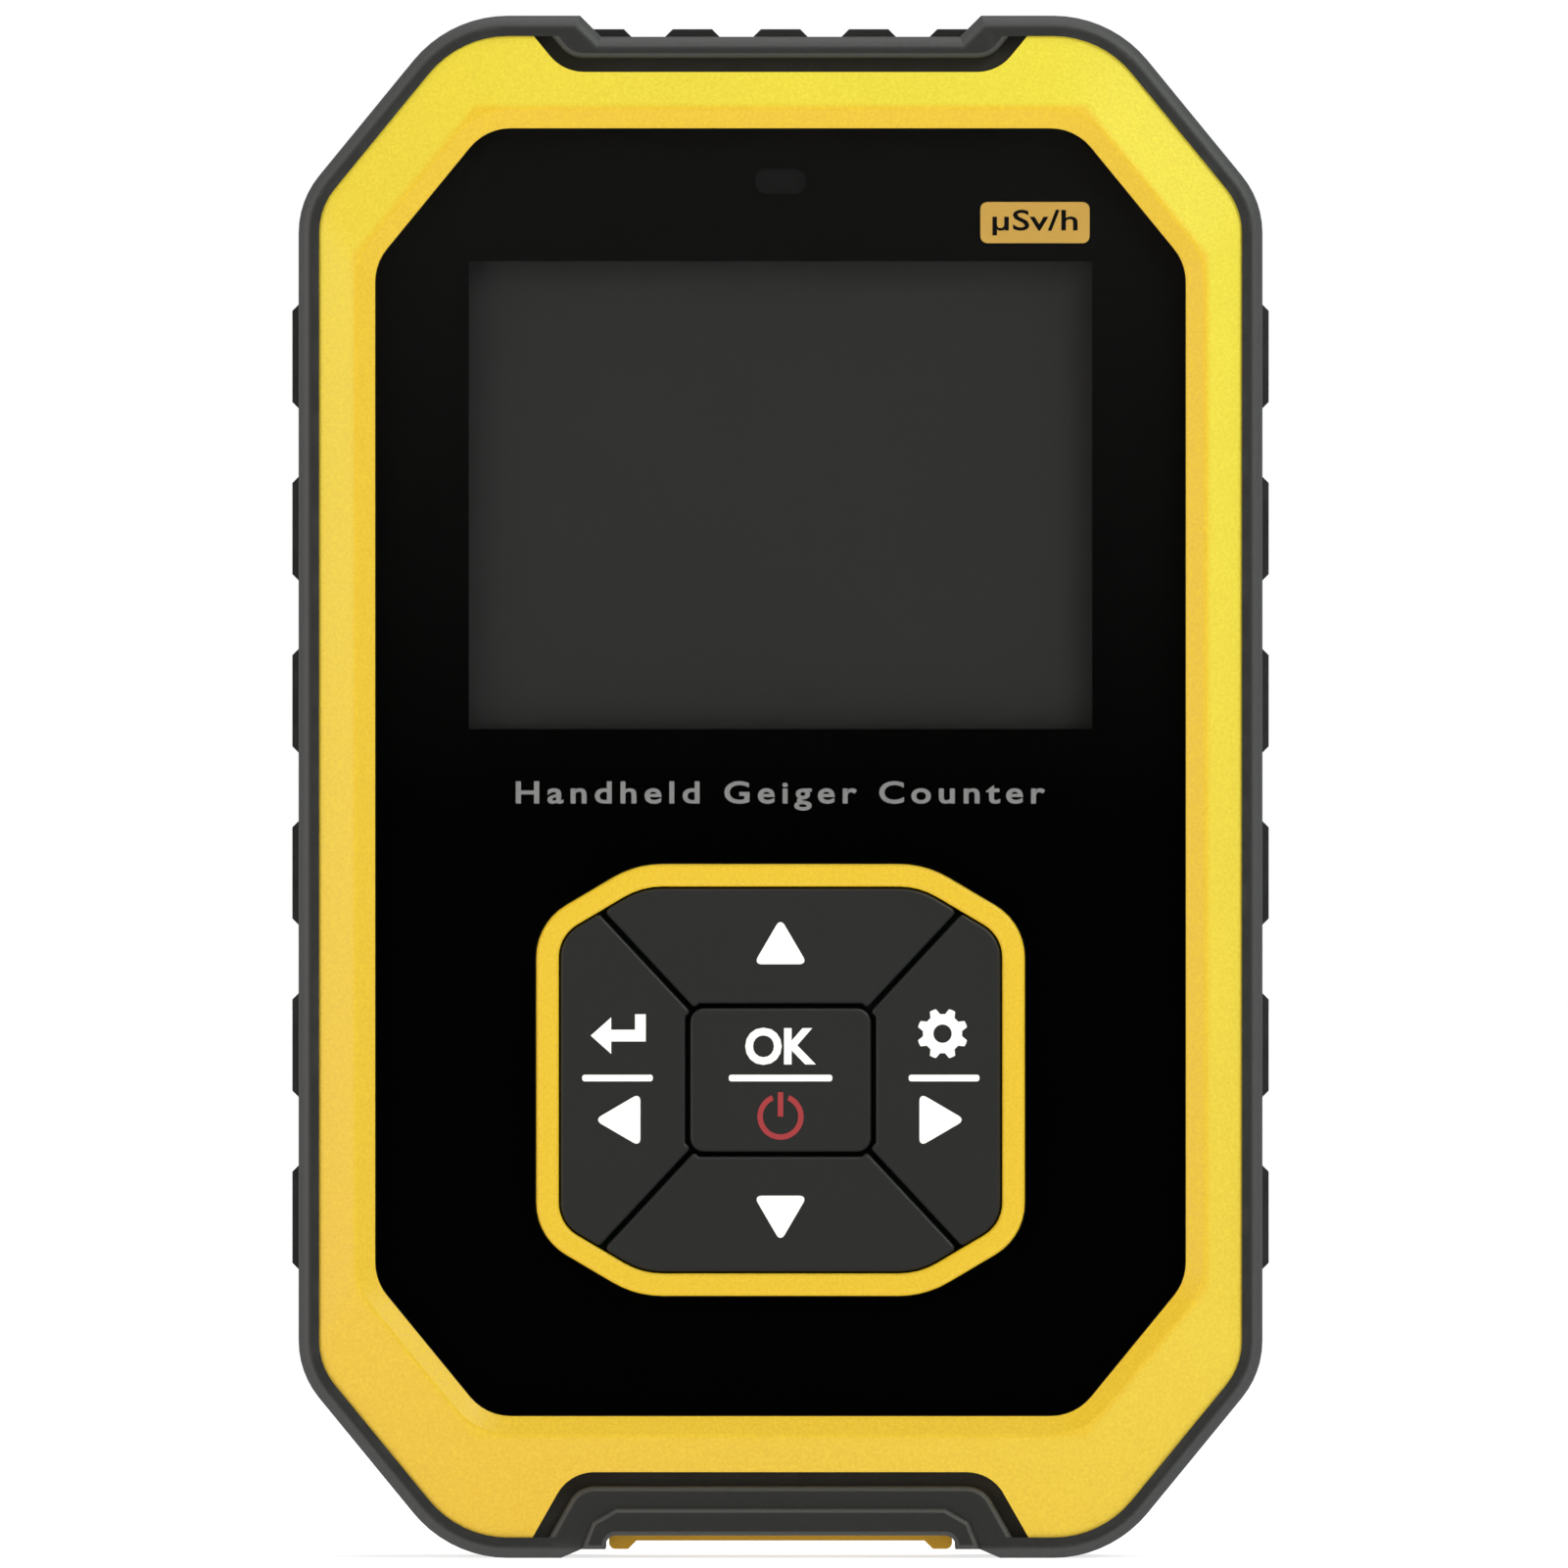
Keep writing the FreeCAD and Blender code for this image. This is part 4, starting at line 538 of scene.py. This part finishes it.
def moulded(name, shade, roughness, grain, relief, light, dark=0.9, wear=0.0, painted_tones=None, lit_rim_shade=None):
    """A moulded plastic or rubber: grain in its height, colour and gloss, and rubbed edges.

    The shade goes from its dark to its light multiple in blotches. Grain is a size, relief a strength.
    """
    material, tree, shader = new_material(name)
    texture = group_node(tree, "Moulded Grain", grain_size=grain)
    shade_out = tinted(tree, scaled(shade, dark), scaled(shade, light), texture.outputs["Blotches"])
    # Painted light and shade on the frame, from frame_colour.
    if painted_tones:
        shade_out = frame_colour(tree, shade_out, *painted_tones)
    # Painted shade and sheen on the bumper, from rubber_colour.
    if lit_rim_shade:
        shade_out = rubber_colour(tree, shade_out, lit_rim_shade)
    grains = math_node(tree, "MULTIPLY", texture.outputs["Grains"], 0.3)
    pale = {"Factor": grains, "A": shade_out, "B": (1, 1, 1, 1)}
    lifted = add_node(tree, "ShaderNodeMix", pale, data_type="RGBA", blend_type="SOFT_LIGHT")
    shade_out = lifted.outputs["Result"]
    if wear:
        worn = group_node(tree, "Edge Wear", amount=wear).outputs["Mask"]
        shade_out = mixed_with(tree, shade_out, scaled(lit_rim_shade or shade, 1.3), worn)
    tree.links.new(shade_out, shader.inputs["Base Color"])
    spread = {"Value": texture.outputs["Grains"], "To Min": roughness - 0.06, "To Max": roughness + 0.08}
    gloss = add_node(tree, "ShaderNodeMapRange", spread)
    tree.links.new(gloss.outputs["Result"], shader.inputs["Roughness"])
    height = {"Height": texture.outputs["Height"], "Strength": relief, "Distance": 0.05 * MM}
    bump = add_node(tree, "ShaderNodeBump", height)
    tree.links.new(bump.outputs["Normal"], shader.inputs["Normal"])
    return material


def glossy(name, shade, roughness, smear=0.05, top_shade=None, **sockets):
    """A smooth plastic, ink or metal with faint smears in its gloss.

    Where a top reflection shade is given, the colour goes over to it near the top of the window: a painted
    reflection.
    """
    material, tree, shader = new_material(name, **sockets)
    dust = group_node(tree, "Dust")
    shade_out = tinted(tree, shade, scaled(shade, 1.15), dust.outputs["Mask"])
    # Painted reflection: paler towards the top of the window.
    if top_shade:
        fade_start, fade_end = 58 * MM, 104 * MM
        rise = drift_mask(tree, (0.0, 0.0, 1.0), fade_start, fade_end)
        shade_out = mixed_with(tree, shade_out, top_shade, rise)
    tree.links.new(shade_out, shader.inputs["Base Color"])
    spread = {"Value": dust.outputs["Mask"], "To Min": roughness, "To Max": roughness + smear}
    gloss = add_node(tree, "ShaderNodeMapRange", spread)
    tree.links.new(gloss.outputs["Result"], shader.inputs["Roughness"])
    return material


def clear_sheet_material():
    """Hard-coated clear plastic. Light on its way to the display passes straight through."""
    material, tree, shader = new_material("Clear Sheet", transmission_weight=1.0, ior=1.2, roughness=0.03)
    output = tree.nodes["Material Output"]
    path = add_node(tree, "ShaderNodeLightPath")
    through = math_node(tree, "MAXIMUM", path.outputs["Is Shadow Ray"], path.outputs["Is Diffuse Ray"])
    open_air = add_node(tree, "ShaderNodeBsdfTransparent")
    mix = add_node(tree, "ShaderNodeMixShader", {0: through, 1: shader.outputs[0], 2: open_air.outputs[0]})
    tree.links.new(mix.outputs[0], output.inputs["Surface"])
    return material


# ---------------------------------------------------------------- operators


class PieceOperator:
    """What the operators share"""

    bl_options = {"REGISTER", "UNDO"}

    def execute(self, context):
        self.make(context.scene.geiger_finishes, context.scene.geiger_sizes)
        return {"FINISHED"}


class GEIGER_OT_finishes(PieceOperator, bpy.types.Operator):
    """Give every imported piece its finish"""

    bl_idname = "geiger.finishes"
    bl_label = "Finishes"

    def make(self, finishes, sizes):
        moulded_grain_group()
        edge_wear_group()
        dust_group()
        inside_crest_group()
        lemon, stand = tuple(finishes.frame_lit_lemon), tuple(finishes.stand_yellow)
        rubber, black = tuple(finishes.bumper_shaded_grey), tuple(finishes.shell_black)
        silicone = tuple(finishes.key_grey)
        # The frame's painted shade: amber towards the lower left, and a deeper yellow on the bevel.
        painted_tones = {"painted_tones": (tuple(finishes.frame_shaded_amber), tuple(finishes.bevel_shaded_yellow))}
        # The bumper's painted shade and sheen, and its rubbed edges.
        rim = {"lit_rim_shade": tuple(finishes.bumper_lit_rim), "wear": 0.2}
        metal = {"metallic": 1.0}
        made = {
            "yellow_shell": moulded("Frame Yellow", lemon, 0.45, 0.25 * MM, 0.3, 1.04, 0.96, **painted_tones),
            "stand_plastic": moulded("Stand Yellow", stand, 0.45, 0.22 * MM, 0.25, 1.04, 0.96),
            "bumper_rubber": moulded("Bumper Rubber", rubber, 0.58, 0.16 * MM, 0.3, 1.1, 0.9, **rim),
            "black_shell": moulded("Shell Black", black, 0.55, 0.30 * MM, 0.5, 1.1, 0.9),
            "key_rubber": moulded("Key Silicone", silicone, 0.52, 0.10 * MM, 0.12, 1.08, 0.92),
            "display": glossy("Display Cell", tuple(finishes.display_grey), 0.28),
            "backlight": glossy("Backlight Frame", (0.70, 0.70, 0.71), 0.35),
            "tape": glossy("Tape", (0.02, 0.02, 0.02), 0.6),
            "foam": moulded("Foam", (0.03, 0.03, 0.03), 0.85, 0.4 * MM, 0.8, 1.2, 0.8),
            "ribbon": glossy("Ribbon Film", (0.50, 0.22, 0.03), 0.25),
            "clear_pipe": glossy("Light Pipe", (0.006, 0.006, 0.0065), 0.3),
            "led": glossy("Lamp Package", (0.85, 0.84, 0.75), 0.4),
            "circuit_board": glossy("Solder Mask", tuple(finishes.board_green), 0.3, coat_weight=0.3),
            "chip": moulded("Chip Package", (0.015, 0.015, 0.016), 0.5, 0.12 * MM, 0.3, 1.1),
            "switch_body": glossy("Switch Body", (0.03, 0.03, 0.03), 0.45),
            "plunger": glossy("Switch Plunger", (0.6, 0.57, 0.5), 0.4),
            "connector": glossy("Connector Body", (0.75, 0.72, 0.62), 0.45),
            "coil": moulded("Ferrite", (0.03, 0.03, 0.032), 0.6, 0.2 * MM, 0.5, 1.2),
            "buzzer_case": glossy("Buzzer Case", (0.012, 0.012, 0.012), 0.4),
            "plated_steel": glossy("Plated Steel", (0.62, 0.62, 0.63), 0.25, 0.15, **metal),
            "tongue": glossy("Socket Tongue", (0.012, 0.012, 0.012), 0.4),
            "tube_glass": glossy("Coated Glass", (0.25, 0.22, 0.19), 0.15, coat_weight=0.5),
            "cell_foil": glossy("Cell Foil", (0.55, 0.56, 0.58), 0.35, 0.2, **metal),
            "label": glossy("Blank Plate", (0.45, 0.45, 0.46), 0.35, 0.15, **metal),
            "lead_red": glossy("Red Lead", (0.45, 0.012, 0.012), 0.45),
            "lead_black": glossy("Black Lead", (0.012, 0.012, 0.012), 0.45),
        }
        for entry in frame["record"]["subparts"]:
            material = made.get(entry["material_slot"])
            if material is None:
                continue
            mesh = frame["nodes"][entry["node"]].data
            mesh.materials.clear()
            mesh.materials.append(material)


class GEIGER_OT_window(PieceOperator, bpy.types.Operator):
    """Make the clear window, the print behind it, its words and its badge"""

    bl_idname = "geiger.window"
    bl_label = "Window"

    def make(self, finishes, sizes):
        low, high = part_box("front_lens")
        print_front = high.y - sizes.print_depth
        sheet = copy_of_node("window_sheet", "front_lens")
        squeeze(sheet, low.y, print_front - sizes.ink)
        finish_piece(sheet, "case", clear_sheet_material())
        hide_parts("front_lens")
        backing = copy_of_node("window_print", "front_lens")
        squeeze(backing, print_front, high.y)
        display, lamp = centre_of("lcd_panel"), centre_of("light_pipe")
        behind = high.y + 1 * MM
        for name, z, width, height, radius in (
            ("display_cutter", display.z, sizes.display_width, sizes.display_height, 0.0),
            ("lamp_cutter", lamp.z, sizes.lamp_width, sizes.lamp_height, 0.9 * MM),
        ):
            cut_away(backing, flat_block(name, (0, behind, z), width, height, 3 * MM, radius))
        # The black print with its painted reflection, paler towards the top.
        ink = self.ink("Print Black", finishes.print_black, top_shade=tuple(finishes.print_reflection_grey))
        finish_piece(backing, "case", ink)
        title_spot = (0, print_front, display.z - sizes.title_drop)
        lettering = {"spacing": 1.3, "bold": 0.02}
        size = (sizes.title_width, sizes.title_height, sizes.ink)
        title = words("title", sizes.title, title_spot, *size, **lettering)
        finish_piece(title, "case", self.ink("Title Ink", finishes.title_grey))
        self.badge(finishes, sizes, print_front, ink)

    def ink(self, name, shade, roughness=0.5, **settings):
        """A matt ink printed behind the window."""
        return glossy(name, tuple(shade), roughness, specular_ior_level=0.0, **settings)

    def badge(self, finishes, sizes, front, ink):
        """The amber plate with its unit, printed in front of the black."""
        half_ink = sizes.ink / 2
        spot = Vector((sizes.badge_x, front, sizes.badge_z))
        plate = flat_block("badge", spot, sizes.badge_width, sizes.badge_height, half_ink, 0.55 * MM)
        finish_piece(plate, "case", self.ink("Badge Ink", finishes.badge_amber, 0.45))
        unit_spot = spot - Vector((0, half_ink, 0))
        size = (sizes.badge_width * 0.78, sizes.unit_height, half_ink)
        unit = words("badge_unit", sizes.badge, unit_spot, *size, bold=0.012)
        finish_piece(unit, "case", ink)


class GEIGER_OT_legends(PieceOperator, bpy.types.Operator):
    """Print the symbols on the keys"""

    bl_idname = "geiger.legends"
    bl_label = "Legends"

    def make(self, finishes, sizes):
        white = glossy("Legend White", tuple(finishes.legend_white), 0.5)
        red = glossy("Legend Red", tuple(finishes.legend_red), 0.5)
        middle = centre_of("key_ok")
        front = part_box("key_ok")[0].y
        places = {name: Vector((x, front, middle.z + z)) for name, (x, z) in LEGEND_PLACES.items()}
        turns = {"up": 0.0, "down": math.pi, "left": -math.pi / 2, "right": math.pi / 2}
        pieces = {side: [] for side in (*turns, "ok")}
        size = (sizes.arrow_width, sizes.arrow_height, sizes.arrow_round)
        for side, turn in turns.items():
            pieces[side].append(arrow(f"arrow_{side}", places[side], turn, *size, sizes.ink))
        for side, (x, width) in RULES.items():
            spot = (x, front, middle.z + RULE_RISE)
            rule = flat_block(f"rule_{side}", spot, width, sizes.rule_height, sizes.ink, 0.2 * MM, 4)
            pieces[side].append(rule)
        pieces["left"].append(self.return_arrow(places["return"], sizes))
        pieces["right"].append(self.gear(places["gear"], sizes))
        ok_size = (sizes.ok_width, sizes.ok_height, sizes.ink)
        pieces["ok"].append(words("ok", "OK", places["ok"], *ok_size, bold=0.035))
        for side, parts in pieces.items():
            legend = joined(f"legend_{side}", parts)
            finish_piece(legend, f"{side}_key", white)
        power = self.power(places["power"], sizes)
        finish_piece(power, "ok_key", red)

    def return_arrow(self, corner, sizes):
        """A riser, a shaft and a head that points left, drawn out from their shared corner."""
        width, height = 0.84 * MM, 0.92 * MM
        riser, shaft, head, head_spread = 1.2 * MM, 1.85 * MM, 1.6 * MM, 3.1
        deselect()
        bpy.ops.mesh.primitive_plane_add(size=1, location=corner, rotation=(FRONT, 0, 0))
        obj = named("return_arrow")
        obj.scale = (width, height, 1)
        apply_place(obj)
        side_of(obj, lambda place: place.z > corner.z)
        bpy.ops.mesh.extrude_edges_move(TRANSFORM_OT_translate={"value": (0, 0, riser)})
        side_of(obj, lambda place: place.x < corner.x and place.z < corner.z + height)
        bpy.ops.mesh.extrude_edges_move(TRANSFORM_OT_translate={"value": (-shaft, 0, 0)})
        bpy.ops.mesh.extrude_edges_move()
        bpy.ops.transform.resize(value=(1, 1, head_spread))
        bpy.ops.mesh.extrude_edges_move(TRANSFORM_OT_translate={"value": (-head, 0, 0)})
        bpy.ops.mesh.merge(type="CENTER")
        bpy.ops.mesh.select_all(action="SELECT")
        bpy.ops.mesh.remove_doubles(threshold=MM * 1e-3)
        bpy.ops.mesh.select_all(action="SELECT")
        thicken(sizes.ink)
        return obj

    def gear(self, spot, sizes):
        """A ring with round-topped teeth."""
        deselect()
        steps, tooth, flatness, hole = 6, 0.115, 1.9, 0.36
        count = sizes.gear_teeth * steps
        bpy.ops.mesh.primitive_circle_add(vertices=count, radius=sizes.gear_radius, rotation=(FRONT, 0, 0))
        ring = named("gear")
        bpy.ops.object.transform_apply(rotation=True)
        for index, vertex in enumerate(ring.data.vertices):
            wave = math.cos(2 * math.pi * (index % steps) / steps)
            vertex.co *= 1 - tooth + tooth * max(-1.0, min(1.0, flatness * wave))
        ring.rotation_euler = (0, math.pi / sizes.gear_teeth, 0)
        ring.location = spot
        apply_place(ring)
        bpy.ops.object.mode_set(mode="EDIT")
        bpy.ops.mesh.select_all(action="SELECT")
        bpy.ops.mesh.fill()
        bpy.ops.mesh.select_all(action="SELECT")
        thicken(sizes.ink)
        bpy.ops.mesh.primitive_cylinder_add(
            vertices=32, radius=sizes.gear_radius * hole, depth=1 * MM, location=spot, rotation=(FRONT, 0, 0)
        )
        cut_away(ring, named("gear_hole"))
        return ring

    def power(self, spot, sizes):
        """An open ring with a bar in its gap."""
        deselect()
        radius, gap, bar_length = sizes.power_radius, 0.62 * MM, 1.9 * MM
        bpy.ops.mesh.primitive_circle_add(vertices=48, radius=radius, location=spot, rotation=(FRONT, 0, 0))
        ring = named("power_ring")
        bpy.ops.object.transform_apply(location=True, rotation=True)
        bpy.ops.object.mode_set(mode="EDIT")
        bpy.ops.mesh.select_all(action="DESELECT")
        bpy.ops.object.mode_set(mode="OBJECT")
        for vertex in ring.data.vertices:
            vertex.select = abs(vertex.co.x - spot.x) < gap and vertex.co.z > spot.z
        bpy.ops.object.mode_set(mode="EDIT")
        bpy.ops.mesh.delete(type="VERT")
        bpy.ops.mesh.select_all(action="SELECT")
        bpy.ops.mesh.extrude_edges_move()
        shrink = 1 - sizes.power_line / radius
        bpy.ops.transform.resize(value=(shrink, 1, shrink), center_override=spot)
        bpy.ops.mesh.select_all(action="SELECT")
        thicken(sizes.ink)
        bar_middle = spot + Vector((0, 0, bar_length / 2))
        bar = flat_block("power_bar", bar_middle, sizes.power_line, bar_length, sizes.ink)
        return joined("legend_power", [ring, bar])


class GEIGER_OT_stage(PieceOperator, bpy.types.Operator):
    """Set up the floor, the lights and the camera"""

    bl_idname = "geiger.stage"
    bl_label = "Stage"

    def make(self, finishes, sizes):
        self.floor()
        self.lights()
        self.camera()

    def floor(self):
        """A wide pale floor."""
        deselect()
        bpy.ops.mesh.primitive_plane_add(size=24, location=(0, 0, 0))
        floor = named("floor")
        bpy.ops.object.mode_set(mode="EDIT")
        bpy.ops.mesh.subdivide(number_cuts=3)
        bpy.ops.object.mode_set(mode="OBJECT")
        matt = {"roughness": 0.9, "specular_ior_level": 0.1, "emission_strength": 0.7}
        pale, tree, shader = new_material("Pale Floor", **matt)
        shader.inputs["Emission Color"].default_value = (1, 1, 1, 1)
        soft = group_node(tree, "Dust", speck_size=40 * MM, smear_size=400 * MM)
        shade = tinted(tree, (0.92, 0.92, 0.92), (0.93, 0.93, 0.93), soft.outputs["Mask"])
        tree.links.new(shade, shader.inputs["Base Color"])
        floor.data.materials.append(pale)
        floor.visible_glossy = floor.visible_transmission = floor.visible_shadow = False

    def lights(self):
        """A soft key from the upper right, a warm fill from the lower left and one from above."""
        self.room()
        target = Vector((0, 0, 0.06))
        for name, place, size, power, shade in (
            ("key", (0.60, -0.70, 0.75), 0.45, 5.3, (0.93, 1.0, 0.86)),
            ("fill", (-0.70, -0.55, 0.10), 0.4, 1.6, (1.0, 0.86, 0.70)),
            ("top", (0.0, 0.05, 0.9), 0.7, 2.5, (1.0, 1.0, 1.0)),
        ):
            bpy.ops.object.light_add(type="AREA", location=place)
            light = bpy.context.object
            light.name = f"{name}_light"
            light.data.size = size
            light.data.energy = power
            light.data.color = shade
            light.rotation_euler = (target - Vector(place)).to_track_quat("-Z", "Y").to_euler()

    def room(self):
        """White all round, but for a dark flag behind the camera that keeps the window black."""
        world = bpy.data.worlds.new("Studio")
        bpy.context.scene.world = world
        world.use_nodes = True
        tree = world.node_tree
        background = tree.nodes["Background"]
        background.inputs["Strength"].default_value = 0.38
        direction = add_node(tree, "ShaderNodeTexCoord").outputs["Generated"]
        axes = add_node(tree, "ShaderNodeSeparateXYZ", {0: direction}).outputs
        beside = {"Value": axes["Y"], "From Min": -0.97, "From Max": -0.85}
        above = {"Value": axes["Z"], "From Min": 0.0, "From Max": 0.25}
        clear = [add_node(tree, "ShaderNodeMapRange", links).outputs["Result"] for links in (beside, above)]
        flag = math_node(tree, "MAXIMUM", *clear)
        seen = add_node(tree, "ShaderNodeLightPath").outputs["Is Camera Ray"]
        tree.links.new(tinted(tree, (0.02, 0.02, 0.02), (1, 1, 1), flag), background.inputs["Color"])
        white = add_node(tree, "ShaderNodeBackground", {"Color": (1, 1, 1, 1), "Strength": 1.0})
        mix = add_node(tree, "ShaderNodeMixShader", {0: seen, 1: background.outputs[0], 2: white.outputs[0]})
        tree.links.new(mix.outputs[0], tree.nodes["World Output"].inputs["Surface"])

    def camera(self):
        """Square on, from far enough that the sides of the case don't show."""
        distance, height, across = 5.0, 60.22 * MM, 0.27 * MM
        frame_width = 122.28 * MM
        bpy.ops.object.camera_add(location=(across, -distance, height), rotation=(FRONT, 0, 0))
        camera = bpy.context.object
        camera.data.sensor_width = 36
        camera.data.lens = camera.data.sensor_width * distance / frame_width
        camera.data.clip_start = 0.05
        bpy.context.scene.camera = camera
        bpy.context.scene.view_settings.view_transform = "Standard"


PIECES = (GEIGER_OT_finishes, GEIGER_OT_window, GEIGER_OT_legends, GEIGER_OT_stage)


class GEIGER_PT_panel(bpy.types.Panel):
    """Lists the counter's pieces"""

    bl_idname = "GEIGER_PT_panel"
    bl_label = "Geiger Counter"
    bl_space_type = "VIEW_3D"
    bl_region_type = "UI"
    bl_category = "Geiger"

    def draw(self, context):
        layout = self.layout
        for piece in PIECES:
            layout.operator(piece.bl_idname)
        for settings in (context.scene.geiger_finishes, context.scene.geiger_sizes):
            for name in settings.__annotations__:
                layout.prop(settings, name)


CLASSES = (GeigerFinishes, GeigerSizes, *PIECES, GEIGER_PT_panel)


def register():
    for cls in CLASSES:
        bpy.utils.register_class(cls)
    bpy.types.Scene.geiger_finishes = PointerProperty(type=GeigerFinishes)
    bpy.types.Scene.geiger_sizes = PointerProperty(type=GeigerSizes)


def unregister():
    del bpy.types.Scene.geiger_sizes
    del bpy.types.Scene.geiger_finishes
    for cls in reversed(CLASSES):
        bpy.utils.unregister_class(cls)


def main():
    register()
    bpy.ops.geiger.finishes()
    bpy.ops.geiger.window()
    bpy.ops.geiger.legends()
    bpy.ops.geiger.stage()


if __name__ == "__main__":
    main()
